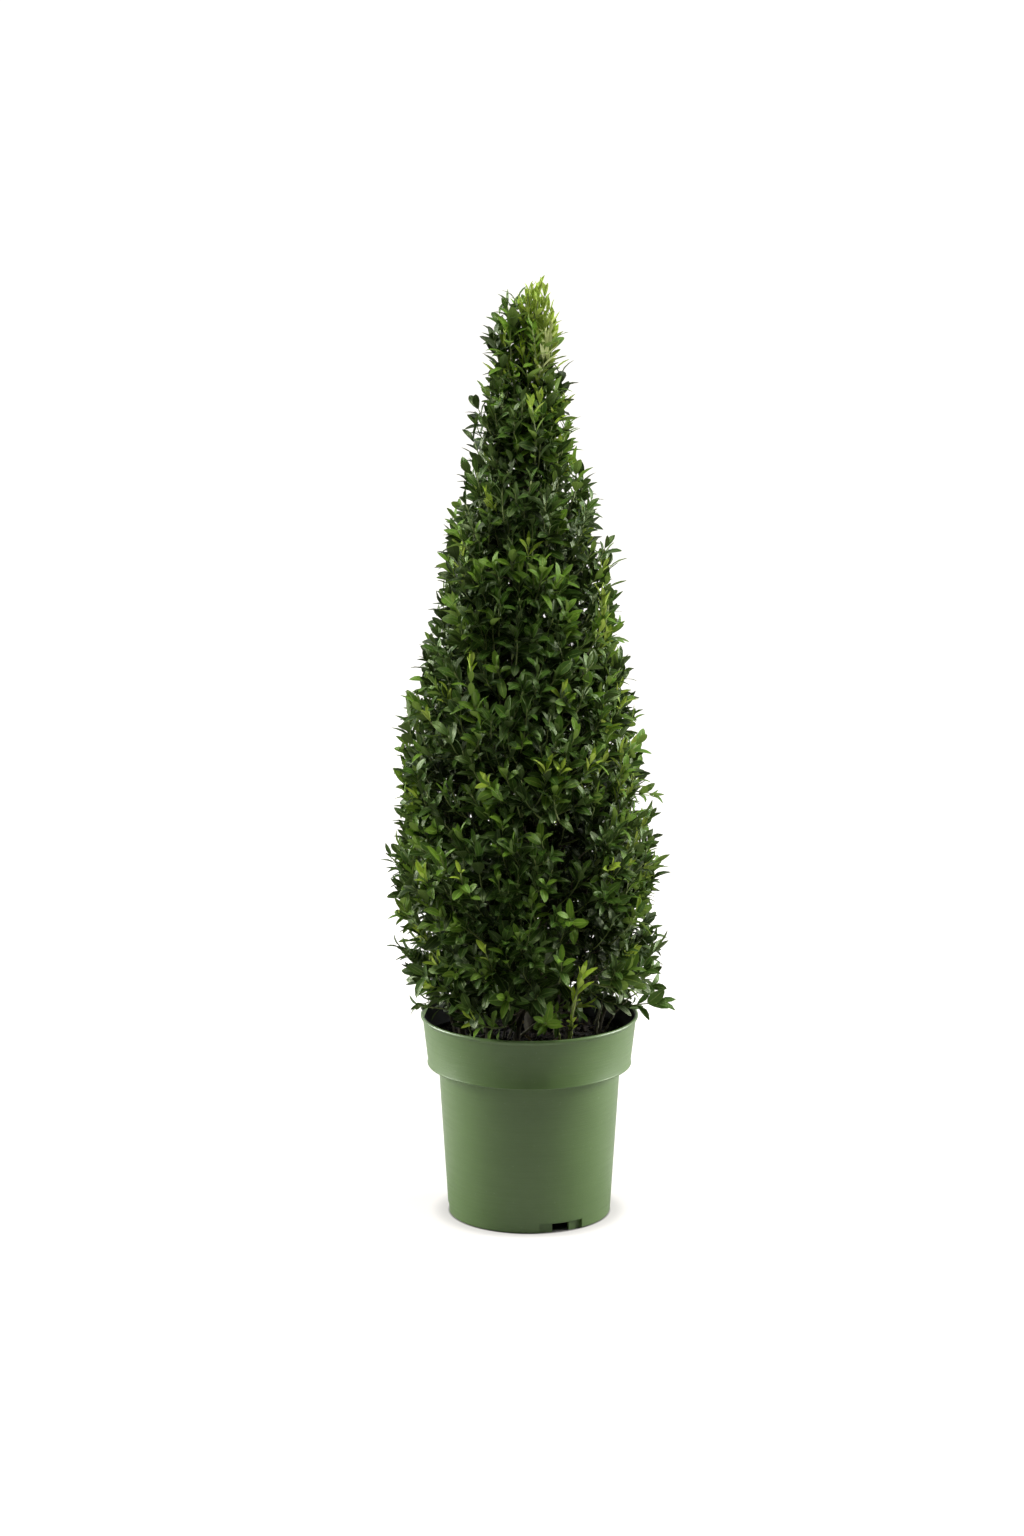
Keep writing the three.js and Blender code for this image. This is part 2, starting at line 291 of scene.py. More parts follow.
class Mottle(EffectGroup):
    """Cloudy shifts of colour in two sizes, with the mask that made them."""

    name = "mottle"
    inputs = {"Vector": "Vector", "Color": "Color", "Shade": "Color", "Scale": "Float", "Amount": "Float"}
    outputs = {"Color": "Color", "Mask": "Float"}

    def wire(self, sheet: NodeSheet, inlet: bpy.types.NodeOutputs) -> dict[str, Socket]:
        """Mixes a broad and a fine noise into one mask."""
        broad = sheet.noise(inlet["Vector"], inlet["Scale"], 2.0)
        fine_scale = sheet.math("MULTIPLY", inlet["Scale"], 4.3)
        fine = sheet.noise(inlet["Vector"], fine_scale, 3.0, 0.6)
        both = sheet.math("ADD", sheet.math("MULTIPLY", broad, 0.65), sheet.math("MULTIPLY", fine, 0.35))
        mask = sheet.span(both, 0.36, 0.64, 0.0, 1.0)
        share = sheet.math("MULTIPLY", mask, inlet["Amount"])
        return {"Color": sheet.blend(share, inlet["Color"], inlet["Shade"]), "Mask": mask}


class Dust(EffectGroup):
    """Pale specks and a thin cloudy film."""

    name = "dust"
    inputs = {
        "Vector": "Vector", "Color": "Color", "Dust": "Color", "Speck Scale": "Float", "Specks": "Float",
        "Film": "Float",
    }
    outputs = {"Color": "Color", "Mask": "Float"}

    def wire(self, sheet: NodeSheet, inlet: bpy.types.NodeOutputs) -> dict[str, Socket]:
        """Keeps only the peaks of a fine noise as specks, over a cloudy film."""
        peaks = sheet.noise(inlet["Vector"], inlet["Speck Scale"], 1.0)
        specks = sheet.math("MULTIPLY", sheet.span(peaks, 0.72, 0.78, 0.0, 1.0), inlet["Specks"])
        cloud = sheet.noise(inlet["Vector"], 26.0, 4.0, 0.6)
        film = sheet.math("MULTIPLY", sheet.span(cloud, 0.4, 0.75, 0.0, 1.0), inlet["Film"])
        mask = sheet.math("ADD", specks, film, clamp=True)
        return {"Color": sheet.blend(mask, inlet["Color"], inlet["Dust"]), "Mask": mask}


class Blade(EffectGroup):
    """The face of a leaf: midrib, side veins, paler margin, mottling and a tone for each leaf; midrib and
    margin are partly their own paler colour and partly a painted highlight.
    """

    name = "leaf blade"
    inputs = {
        "Color": "Color", "Shade": "Color", "Rib": "Color", "Rib Share": "Float", "Tone Range": "Float",
        "Gloss": "Float",
    }
    outputs = {"Color": "Color", "Roughness": "Float", "Height": "Float"}

    def wire(self, sheet: NodeSheet, inlet: bpy.types.NodeOutputs) -> dict[str, Socket]:
        """Works from the leaf's own map, across in X and along in Y."""
        spot = sheet.add("SeparateXYZ")
        sheet.feed(spot.inputs[0], sheet.add("TexCoord").outputs["UV"])
        across = sheet.math("ABSOLUTE", sheet.math("SUBTRACT", spot.outputs[0], 0.5))
        along = spot.outputs[1]
        rib = sheet.span(across, 0.02, 0.085, 1.0, 0.0)
        margin = sheet.span(across, 0.4, 0.5, 0.0, 1.0)
        pitch, sweep = sheet.math("MULTIPLY", along, 9.0), sheet.math("MULTIPLY", across, 7.0)
        slant = sheet.math("SUBTRACT", pitch, sweep)
        veins = sheet.math("SINE", sheet.math("MULTIPLY", slant, 2.0 * math.pi))

        mottle = Mottle().place(
            sheet, Vector=sheet.object_coordinates(), Color=inlet["Color"], Shade=inlet["Shade"],
            Scale=95.0, Amount=0.7,
        )
        tone = sheet.tone()
        shift = sheet.math("MULTIPLY", sheet.math("SUBTRACT", tone, 0.5), inlet["Tone Range"])
        strength = sheet.math("ADD", 1.0, sheet.math("MULTIPLY", shift, 2.0))
        grey = sheet.add("CombineColor")
        for channel in range(3):
            sheet.feed(grey.inputs[channel], strength)
        toned = sheet.blend(1.0, mottle["Color"], grey.outputs[0], "MULTIPLY")
        rib_share = sheet.math("MULTIPLY", rib, inlet["Rib Share"])
        # Midrib and margin go towards the rib colour: partly their own paler colour, partly a painted
        # highlight where the light catches them.
        ribbed = sheet.blend(rib_share, toned, inlet["Rib"])
        edged = sheet.blend(sheet.math("MULTIPLY", margin, 0.5), ribbed, inlet["Rib"])
        rough = sheet.math("ADD", inlet["Gloss"], sheet.math("MULTIPLY", mottle["Mask"], 0.12))
        height = sheet.math("SUBTRACT", sheet.math("MULTIPLY", veins, 0.12), rib)
        return {"Color": edged, "Roughness": rough, "Height": height}


def new_material(name: str) -> tuple[Material, NodeSheet, bpy.types.Node, bpy.types.Node]:
    """Starts a material with a Principled shader wired to its output.

    Args:
        name: name of the material.

    Returns:
        The material, its sheet, its Principled shader and its output node.
    """
    material = bpy.data.materials.new(name)
    material.use_nodes = True
    sheet = NodeSheet(material.node_tree)
    output = sheet.add("OutputMaterial")
    shader = sheet.add("BsdfPrincipled")
    sheet.feed(output.inputs["Surface"], shader.outputs[0])
    return material, sheet, shader, output


def wire_surface(
    sheet: NodeSheet, shader: bpy.types.Node, color: Socket, rough: Socket, height: Socket, depth: float
) -> None:
    """Wires colour, roughness and relief to a shader.

    Args:
        sheet: the material's sheet.
        shader: the Principled shader.
        color: the base colour.
        rough: the roughness.
        height: height of the relief between 0 and 1.
        depth: metres that a height of 1 stands for.
    """
    sheet.feed(shader.inputs["Base Color"], color)
    sheet.feed(shader.inputs["Roughness"], rough)
    bump = sheet.add("Bump")
    bump.inputs["Distance"].default_value = depth
    sheet.feed(bump.inputs["Height"], height)
    sheet.feed(shader.inputs["Normal"], bump.outputs[0])


@dataclass(frozen=True)
class LeafFinish:
    """Waxy face, paler underside and a little light let through.

    Attributes:
        age: the kind of leaf.
        face: base colour of the upper side.
        shade: darker clouds on it.
        rib: colour of midrib and margin, partly their own paler colour and partly a painted highlight.
        back: colour of the underside.
        gloss: roughness of the wax.
        glow: share of light let through.
    """

    age: LeafAge
    face: Color
    shade: Color
    rib: Color
    back: Color
    gloss: float
    glow: float

    def build(self) -> Material:
        """Makes the material."""
        material, sheet, shader, output = new_material(f"leaf_{self.age.value}")
        blade = Blade().place(
            sheet, Color=self.face, Shade=self.shade, Rib=self.rib, Rib_Share=0.8, Tone_Range=0.5,
            Gloss=self.gloss,
        )
        side = sheet.add("NewGeometry").outputs["Backfacing"]
        color = sheet.blend(sheet.math("MULTIPLY", side, 0.8), blade["Color"], self.back)
        wire_surface(sheet, shader, color, blade["Roughness"], blade["Height"], 0.00025)
        shader.inputs["Specular IOR Level"].default_value = 0.52
        shader.inputs["Specular Tint"].default_value = (0.80, 1.0, 0.46, 1.0)
        through = sheet.add("BsdfTranslucent")
        sheet.feed(through.inputs["Color"], sheet.blend(0.5, color, self.rib))
        both = sheet.add("MixShader")
        both.inputs[0].default_value = self.glow
        sheet.feed(both.inputs[1], shader.outputs[0])
        sheet.feed(both.inputs[2], through.outputs[0])
        sheet.feed(output.inputs["Surface"], both.outputs[0])
        return material


@dataclass(frozen=True)
class BarkFinish:
    """Fissured bark or the smooth skin of a green shoot.

    Attributes:
        name: name of the material.
        ridge: colour of the raised bark.
        furrow: colour between the ridges.
        lichen: colour of scattered specks.
        rough: roughness.
        depth: depth of the relief in metres.
    """

    name: str
    ridge: Color
    furrow: Color
    lichen: Color
    rough: float = 0.75
    depth: float = 0.0004

    def build(self) -> Material:
        """Makes the material."""
        material, sheet, shader, _ = new_material(self.name)
        stretched = sheet.object_coordinates((1.0, 1.0, 0.28))
        mottle = Mottle().place(
            sheet, Vector=stretched, Color=self.ridge, Shade=self.furrow, Scale=420.0, Amount=0.85,
        )
        tone = sheet.tone()
        toned = sheet.blend(sheet.span(tone, 0.0, 1.0, 0.0, 0.45), mottle["Color"], self.furrow)
        dust = Dust().place(
            sheet, Vector=sheet.object_coordinates(), Color=toned, Dust=self.lichen, Speck_Scale=900.0,
            Specks=0.5, Film=0.25,
        )
        rough = sheet.math("ADD", self.rough, sheet.math("MULTIPLY", mottle["Mask"], 0.12))
        height = sheet.math("SUBTRACT", 1.0, mottle["Mask"])
        wire_surface(sheet, shader, dust["Color"], rough, height, self.depth)
        return material


STEM_BARK = BarkFinish("stem_bark", (0.085, 0.076, 0.042), (0.033, 0.028, 0.016), (0.17, 0.16, 0.10))
TWIG_BARK = BarkFinish("twig_bark", (0.120, 0.102, 0.058), (0.052, 0.043, 0.025), (0.22, 0.21, 0.15))
OLD_STALK = BarkFinish("old_stalk", (0.30, 0.29, 0.19), (0.13, 0.12, 0.075), (0.40, 0.38, 0.28))
# Bright green skin of the green suckers: partly their fresh colour, partly painted light, as the crown shades
# their place.
SUCKER_SKIN_PAINTED_LIGHT = BarkFinish(
    "sucker_skin_painted_light", (0.40, 0.50, 0.13), (0.26, 0.35, 0.08), (0.46, 0.50, 0.22), 0.5, 0.0001
)
SHOOT_SKIN = BarkFinish(
    "shoot_skin", (0.21, 0.27, 0.075), (0.13, 0.17, 0.04), (0.34, 0.36, 0.18), 0.55, 0.0001
)


@dataclass(frozen=True)
class PotPlastic:
    """Satin plastic with fine streaks round the pot, scuffs and dust.

    Attributes:
        name: name of the material.
        color: base colour.
        streak: colour of the streaks.
        scuff: colour of rubbed places.
        rough: roughness.
    """

    name: str
    color: Color
    streak: Color
    scuff: Color
    rough: float = 0.4

    def build(self) -> Material:
        """Makes the material."""
        material, sheet, shader, _ = new_material(self.name)
        rings = sheet.object_coordinates((0.35, 0.35, 9.0))
        streaks = Mottle().place(
            sheet, Vector=rings, Color=self.color, Shade=self.streak, Scale=55.0, Amount=0.26,
        )
        plain = sheet.object_coordinates()
        clouds = Mottle().place(
            sheet, Vector=plain, Color=streaks["Color"], Shade=self.streak, Scale=22.0, Amount=0.42,
        )
        rubs = sheet.object_coordinates((1.0, 1.0, 2.6))
        rubbed = sheet.span(sheet.noise(rubs, 95.0, 6.0, 0.7), 0.66, 0.74, 0.0, 0.35)
        scuffed = sheet.blend(rubbed, clouds["Color"], self.scuff)
        dust = Dust().place(
            sheet, Vector=plain, Color=scuffed, Dust=self.scuff, Speck_Scale=420.0, Specks=0.3, Film=0.06,
        )
        rough = sheet.math("ADD", self.rough, sheet.math("MULTIPLY", streaks["Mask"], 0.06))
        rough = sheet.math("ADD", rough, sheet.math("MULTIPLY", rubbed, 0.4))
        shader.inputs["Coat Weight"].default_value = 0.35
        shader.inputs["Coat Roughness"].default_value = 0.32
        ripple = sheet.math("ADD", streaks["Mask"], sheet.math("MULTIPLY", rubbed, 1.5))
        wire_surface(sheet, shader, dust["Color"], rough, ripple, 0.00006)
        return material


POT_GREEN = PotPlastic("pot_green", (0.102, 0.178, 0.048), (0.084, 0.150, 0.038), (0.20, 0.28, 0.12))
# Near-black plastic for the inside of the pot.
POT_BLACK_INSIDE = PotPlastic(
    "pot_black_inside", (0.010, 0.012, 0.008), (0.006, 0.007, 0.005), (0.04, 0.04, 0.03), 0.5
)


@dataclass(frozen=True)
class EarthFinish:
    """Damp peat, or the bark chips in it.

    Attributes:
        name: name of the material.
        color: colour of the crumbs.
        damp: colour of the wet hollows.
        grit: colour of pale specks.
        scale: size of the mottling, as cells per metre.
        rough: roughness.
    """

    name: str
    color: Color
    damp: Color
    grit: Color
    scale: float = 260.0
    rough: float = 0.9

    def build(self) -> Material:
        """Makes the material."""
        material, sheet, shader, _ = new_material(self.name)
        vector = sheet.object_coordinates()
        mottle = Mottle().place(
            sheet, Vector=vector, Color=self.color, Shade=self.damp, Scale=self.scale, Amount=0.9,
        )
        dust = Dust().place(
            sheet, Vector=vector, Color=mottle["Color"], Dust=self.grit, Speck_Scale=800.0, Specks=0.6,
            Film=0.12,
        )
        rough = sheet.span(mottle["Mask"], 0.0, 1.0, self.rough, 0.6)
        wire_surface(sheet, shader, dust["Color"], rough, sheet.noise(vector, 900.0, 4.0, 0.7), 0.0012)
        return material


PEAT = EarthFinish("peat", (0.015, 0.0115, 0.007), (0.005, 0.0042, 0.003), (0.055, 0.045, 0.030))
BARK_CHIP = EarthFinish(
    "bark_chips", (0.044, 0.029, 0.016), (0.020, 0.0135, 0.008), (0.10, 0.080, 0.050), 500
)
ROOT_FIBRE = EarthFinish(
    "root_fibres", (0.085, 0.068, 0.040), (0.046, 0.036, 0.021), (0.16, 0.14, 0.09), 500
)


# ---- Mesh helpers ----


@dataclass
class Shape:
    """A small closed or open mesh held as arrays, to be repeated many times."""

    points: Array
    triangles: Array
    places: Array

    @classmethod
    def read(cls, sketch: Sketch, places: Array | None = None) -> "Shape":
        """Takes the arrays of a bmesh and frees it.

        Args:
            sketch: the bmesh, which is triangulated here.
            places: map place of each vertex, or None.

        Returns:
            The shape.
        """
        bmesh.ops.triangulate(sketch, faces=sketch.faces[:])
        sketch.verts.index_update()
        points = np.array([vert.co for vert in sketch.verts], float)
        triangles = np.array([[vert.index for vert in face.verts] for face in sketch.faces], int)
        sketch.free()
        return cls(points, triangles, np.zeros((len(points), 2)) if places is None else places)


def place_in_scene(name: str, data: bpy.types.ID) -> bpy.types.Object:
    """Makes an object of a mesh, light or camera and links it to the scene."""
    piece = bpy.data.objects.new(name, data)
    bpy.context.scene.collection.objects.link(piece)
    return piece


def lathe(profile: list[tuple[float, float]], steps: int) -> Sketch:
    """Spins a profile round the upright axis into a closed mesh.

    Args:
        profile: radius and height of each point, from axis to axis.
        steps: number of steps in the full turn.

    Returns:
        The bmesh, with its normals outward.
    """
    sketch = bmesh.new()
    verts = [sketch.verts.new((radius, 0, height)) for radius, height in profile]
    edges = [sketch.edges.new(pair) for pair in zip(verts, verts[1:])]
    bmesh.ops.spin(
        sketch, geom=[*verts, *edges], axis=(0, 0, 1), cent=(0, 0, 0), angle=2 * math.pi, steps=steps,
        use_merge=True, use_duplicate=False,
    )
    bmesh.ops.remove_doubles(sketch, verts=sketch.verts[:], dist=1e-5)
    bmesh.ops.recalc_face_normals(sketch, faces=sketch.faces[:])
    return sketch


def mesh_object(
    name: str, points: Array, triangles: Array, places: Array, tone: Array,
    material: Material,
) -> bpy.types.Object:
    """Makes one smooth object from arrays of triangles.

    Args:
        name: name of the object.
        points: place of each vertex.
        triangles: vertex numbers of each triangle.
        places: map place of each vertex.
        tone: tone of each vertex.
        material: its material.

    Returns:
        The object, in the scene.
    """
    mesh = bpy.data.meshes.new(name)
    mesh.vertices.add(len(points))
    mesh.vertices.foreach_set("co", points.astype(np.float32).ravel())
    mesh.loops.add(triangles.size)
    mesh.loops.foreach_set("vertex_index", triangles.astype(np.int32).ravel())
    mesh.polygons.add(len(triangles))
    mesh.polygons.foreach_set("loop_start", np.arange(0, triangles.size, 3, dtype=np.int32))
    mesh.polygons.foreach_set("use_smooth", np.ones(len(triangles), bool))
    mesh.update(calc_edges=True)
    layer = mesh.uv_layers.new(name="UVMap")
    layer.data.foreach_set("uv", places[triangles.ravel()].astype(np.float32).ravel())
    mesh.attributes.new(TONE, "FLOAT", "POINT").data.foreach_set("value", tone.astype(np.float32))
    mesh.validate()
    mesh.materials.append(material)
    return place_in_scene(name, mesh)


def bmesh_object(
    name: str, sketch: Sketch, materials: list[Material], crease: float = 35.0
) -> bpy.types.Object:
    """Makes an object from a bmesh and frees the bmesh.

    Args:
        name: name of the object.
        sketch: the bmesh.
        materials: its materials, in the order of the faces' numbers.
        crease: angle in degrees past which an edge stays sharp.

    Returns:
        The object, in the scene.
    """
    mesh = bpy.data.meshes.new(name)
    sketch.to_mesh(mesh)
    sketch.free()
    for material in materials:
        mesh.materials.append(material)
    mesh.shade_smooth()
    mesh.set_sharp_from_angle(angle=math.radians(crease))
    return place_in_scene(name, mesh)


def finish_piece(piece: bpy.types.Object, slot: Slot, nodes: list[str]) -> None:
    """Rides a piece on the body, hides the nodes that it stands for and logs its triangles.

    Args:
        piece: the finished object.
        slot: not used.
        nodes: names of the CAD nodes that it replaces.
    """
    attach(piece, ROOT_BODY)
    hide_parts(*nodes)
    triangles = sum(len(face.vertices) - 2 for face in piece.data.polygons)
    log.info("%-26s %7d triangles", piece.name, triangles)


@dataclass
class JoinedMesh:
    """Arrays of one mesh, gathered from repeats of many patterns."""

    parts: list[tuple[Array, ...]] = field(default_factory=list)
    start: int = 0

    def add(self, points: Array, triangles: Array, places: Array, tones: Array) -> None:
        """Adds repeats of one pattern.

        Args:
            points: points of each repeat.
            triangles: the pattern's triangles.
            places: the pattern's map places.
            tones: tone of each repeat.
        """
        repeats, count = points.shape[:2]
        shifts = self.start + np.arange(repeats) * count
        shifted = (triangles[None] + shifts[:, None, None]).reshape(-1, 3)
        laid = np.tile(places, (repeats, 1))
        self.parts.append((points.reshape(-1, 3), shifted, laid, np.repeat(tones, count)))
        self.start += repeats * count

    def build(self, name: str, material: Material) -> bpy.types.Object:
        """Makes the object."""
        return mesh_object(name, *(np.concatenate(part) for part in zip(*self.parts)), material)


@dataclass
class Scatter:
    """Copies of a few shapes, gathered for one joined mesh."""

    shapes: list[Shape]
    batches: list[tuple[Array, ...]] = field(default_factory=list)

    def add(self, origins: Array, frames: Array, picks: Array, tones: Array) -> None:
        """Adds copies.

        Args:
            origins: place of each copy.
            frames: its X, Y and Z, as three rows with their sizes in them.
            picks: which shape it is.
            tones: its tone, from 0 to 1.
        """
        self.batches.append((origins, frames, picks, tones))

    def build(self, name: str, material: Material) -> bpy.types.Object:
        """Joins the copies into one object."""
        origins, frames, picks, tones = (np.concatenate(part) for part in zip(*self.batches))
        joined = JoinedMesh()
        for index, shape in enumerate(self.shapes):
            chosen = picks == index
            spread = np.einsum("vk,nkc->nvc", shape.points, frames[chosen]) + origins[chosen, None, :]
            joined.add(spread, shape.triangles, shape.places, tones[chosen])
        return joined.build(name, material)


@dataclass
class Twigs:
    """Thin tapering limbs, gathered for one joined mesh."""

    sides: int = 5
    limbs: list[tuple[Array, Array, float]] = field(default_factory=list)

    def add(self, points: Array, radii: Array, tone: float) -> None:
        """Adds a limb."""
        self.limbs.append((points, radii, tone))

    def _rings(self, points: Array, radii: Array) -> Array:
        """Rings of vertices round many middle lines of the same number of points."""
        tangents = unit(np.gradient(points, axis=1))
        chord = unit(points[:, -1] - points[:, 0])
        upright = np.abs(chord[:, 2]) > 0.7
        reference = np.where(upright[:, None], [1.0, 0.0, 0.0], [0.0, 0.0, 1.0])
        first = unit(np.cross(tangents, reference[:, None, :]))
        second = np.cross(tangents, first)
        turn = np.arange(self.sides) * 2.0 * math.pi / self.sides
        around = (
            first[:, :, None, :] * np.cos(turn)[None, None, :, None]
            + second[:, :, None, :] * np.sin(turn)[None, None, :, None]
        )
        return points[:, :, None, :] + around * radii[:, :, None, None]

    def _triangles(self, steps: int) -> Array:
        """Triangles of one limb with so many rings, its two ends closed."""
        faces = []
        for ring in range(steps - 1):
            for side in range(self.sides):
                a = ring * self.sides + side
                b = ring * self.sides + (side + 1) % self.sides
                faces += [(a, b, b + self.sides), (a, b + self.sides, a + self.sides)]
        last = (steps - 1) * self.sides
        for side in range(1, self.sides - 1):
            faces += [(0, side + 1, side), (last, last + side, last + side + 1)]
        return np.array(faces)

    def build(self, name: str, material: Material) -> bpy.types.Object:
        """Joins the limbs into one object."""
        joined = JoinedMesh()
        for steps in sorted({len(limb[0]) for limb in self.limbs}):
            lines, radii, tones = zip(*(limb for limb in self.limbs if len(limb[0]) == steps))
            rings = self._rings(np.array(lines), np.array(radii)).reshape(len(lines), -1, 3)
            grid = np.stack(np.meshgrid(np.arange(self.sides) / self.sides, np.arange(steps) / steps), -1)
            joined.add(rings, self._triangles(steps), grid.reshape(-1, 2), np.array(tones))
        return joined.build(name, material)


# ---- What the frame says about stems and crown ----


@dataclass
class StemLine:
    """Middle line and radius of a stem, sliced from its CAD node.

    Attributes:
        node: name of the CAD node.
        slices: number of cuts.
    """

    node: str
    slices: int = 24

    def __post_init__(self) -> None:
        """Cuts the node's edges at each height."""
        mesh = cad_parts[self.node].data
        points = np.array([vert.co for vert in mesh.vertices], float)
        edges = points[np.array([edge.vertices[:] for edge in mesh.edges])]
        low, high = points[:, 2].min(), points[:, 2].max()
        spare = (high - low) * 0.02
        self.heights = np.linspace(low + spare, high - spare, self.slices)
        middles, radii = [], []
        rise = edges[:, 1, 2] - edges[:, 0, 2]
        for height in self.heights:
            crossing = (edges[:, 0, 2] - height) * (edges[:, 1, 2] - height) < 0
            share = (height - edges[crossing, 0, 2]) / rise[crossing]
            cuts = edges[crossing, 0] + (edges[crossing, 1] - edges[crossing, 0]) * share[:, None]
            middle = (cuts.min(0) + cuts.max(0)) / 2
            middles.append(middle)
            radii.append(np.linalg.norm((cuts - middle)[:, :2], axis=1).max())
        self.middles = np.array(middles)
        self.radii = np.array(radii)
        self.foot = low
        self.top = high

    def at(self, height: Array | float) -> Array:
        """Middle of the stem at a height, carried on straight past its ends."""
        height = np.asarray(height, float)
        x = np.interp(height, self.heights, self.middles[:, 0])
        y = np.interp(height, self.heights, self.middles[:, 1])
        return np.stack([x, y, height], -1)

    def radius(self, height: float) -> float:
        """Radius of the stem at a height."""
        return float(np.interp(height, self.heights, self.radii))


@dataclass
class Outline:
    """How far the crown reaches from the main stem, at each bearing and height.

    Attributes:
        leader: the main stem's line.
        bearings: number of bearings that are probed.
        rows: number of heights that are probed.
        reach: where the probes start, in metres from the stem.
    """

    leader: StemLine
    bearings: int = 96
    rows: int = 150
    reach: float = 0.3

    def __post_init__(self) -> None:
        """Probes the masses from outside."""
        points, faces = [], []
        for zone in Zone:
            for name in zone.nodes():
                if "spray" not in name:
                    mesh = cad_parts[name].data
                    shift = len(points)
                    points += [vert.co.copy() for vert in mesh.vertices]
                    faces += [[shift + index for index in face.vertices] for face in mesh.polygons]
        tree = BVHTree.FromPolygons(points, faces)
        self.low = min(point.z for point in points)
        self.high = max(point.z for point in points)
        self.heights = np.linspace(self.low + 0.0005, self.high - 0.0005, self.rows)
        grid = np.zeros((self.rows, self.bearings))
        for row, height in enumerate(self.heights):
            middle = self.leader.at(height)
            for column in range(self.bearings):
                outward = heading(2.0 * math.pi * column / self.bearings)
                hit = tree.ray_cast(Vector(middle + outward * self.reach), Vector(-outward), self.reach)
                if hit[0] is not None:
                    grid[row, column] = self.reach - hit[3]
        self.grid = self._close_seams(grid)

    def _close_seams(self, grid: Array) -> Array:
        """Fills the thin seams between masses from their neighbours."""
        padded = np.pad(grid, ((1, 1), (0, 0)), mode="edge")
        around = [
            padded[:-2], padded[2:], np.roll(grid, 1, 1), np.roll(grid, -1, 1),
            np.roll(padded[:-2], 1, 1), np.roll(padded[2:], -1, 1),
        ]
        typical = np.median(np.stack(around), axis=0)
        seam = grid < typical - 0.006
        return np.where(seam, typical, grid)

    def radius(self, bearing: float, height: float) -> float:
        """Reach of the crown at a bearing in radians and a height."""
        column = (bearing / (2.0 * math.pi) * self.bearings) % self.bearings
        left = int(column) % self.bearings
        share = column - int(column)
        ring = self.grid[:, left] * (1.0 - share) + self.grid[:, (left + 1) % self.bearings] * share
        return float(np.interp(height, self.heights, ring))

    def girth(self, height: float) -> float:
        """Mean reach at a height."""
        return float(np.interp(height, self.heights, self.grid.mean(1)))

    def polar(self, point: Array) -> tuple[float, float]:
        """Bearing in radians and distance of a point from the main stem."""
        away = point - self.leader.at(point[2])
        return math.atan2(away[0], -away[1]), math.hypot(away[0], away[1])


# ---- Boughs, twigs and leaves ----


@dataclass
class Skeleton:
    """Boughs that carry the shoots. Each new limb starts at the node that suits it best.

    Attributes:
        points: place of each node.
        parents: node that each grows from, or -1.
        limbs: nodes of each limb.
        loads: number of shoots that each node carries.
        twig_radius: radius of a twig that carries one shoot.
        thickening: power of the load by which limbs thicken.
    """

    points: list[Array] = field(default_factory=list)
    parents: list[int] = field(default_factory=list)
    limbs: list[list[int]] = field(default_factory=list)
    loads: Array | None = None
    twig_radius: float = 0.52 * MM
    thickening: float = 0.4

    def grow(self, parent: int, points: Array) -> list[int]:
        """Adds a limb.

        Args:
            parent: node that it starts from, or -1 for a stem.
            points: its further points.

        Returns:
            The numbers of its new nodes.
        """
        fresh = []
        for point in points:
            self.points.append(point)
            self.parents.append(parent)
            parent = len(self.points) - 1
            fresh.append(parent)
        self.limbs.append(fresh)
        return fresh

    def best_parent(self, base: Array, direction: Array) -> int:
        """Node from which a twig can best reach a shoot.

        Args:
            base: foot of the shoot.
            direction: way that the shoot leaves its foot.

        Returns:
            The node's number.
        """
        away = base - np.array(self.points)
        length = np.linalg.norm(away, axis=1)
        along = (away @ direction) / np.maximum(length, 1e-6)
        climb = away[:, 2] / np.maximum(length, 1e-6)
        cost = length * (1.5 - 0.55 * along - 0.3 * climb) + 0.05 * (length < 0.006)
        return int(np.argmin(cost))

    def weigh(self, tips: list[int]) -> None:
        """Adds up the shoots that each node carries."""
        loads = np.zeros(len(self.points))
        for tip in tips:
            loads[tip] += 1.0
        for index in range(len(loads) - 1, -1, -1):
            if self.parents[index] >= 0:
                loads[self.parents[index]] += loads[index]
        self.loads = loads

    def limb_line(self, limb: list[int]) -> tuple[Array, Array]:
        """Points and radii of a limb, from the node that it leaves."""
        chain = ([self.parents[limb[0]]] if self.parents[limb[0]] >= 0 else []) + limb
        points = np.array([self.points[index] for index in chain])
        carried = np.maximum(self.loads[limb], 1.0)
        carried = np.concatenate([[carried[0]] * (len(chain) - len(limb)), carried])
        return points, self.twig_radius * carried**self.thickening


@dataclass
class Shoot:
    """One leafy shoot, from its foot to its tip.

    Attributes:
        tip: place of the tip.
        start: direction at the foot.
        end: direction at the tip.
        length: length in metres.
        pairs: number of leaf pairs.
        age: age of its leaves.
        leaf: length of its largest leaves.
        zone: tier of the crown.
        light: way that its leaves turn to.
        fresh_tip: whether its last pairs are a step younger.
        tone: how light its leaves are, from 0 to 1; it carries painted shade in the deeper layers and painted
            light on the suckers' leaves.
        facing: least share by which the leaves turn to that way.
    """

    tip: Array
    start: Array
    end: Array
    length: float
    pairs: int
    age: LeafAge
    leaf: float
    zone: Zone
    light: Array
    fresh_tip: bool = False
    tone: float = 0.55
    facing: float = 0.0

    @property
    def base(self) -> Array:
        """Foot of the shoot."""
        return self.tip - self.length * (self.start + self.end) / 2

    def line(self, share: Array) -> Array:
        """Points at shares of the way up."""
        share = np.asarray(share)[:, None]
        return self.base + self.length * (self.start * (share - share**2 / 2) + self.end * share**2 / 2)

    def tangent(self, share: Array) -> Array:
        """Directions at shares of the way up."""
        share = np.asarray(share)[:, None]
        return unit(self.start * (1 - share) + self.end * share)


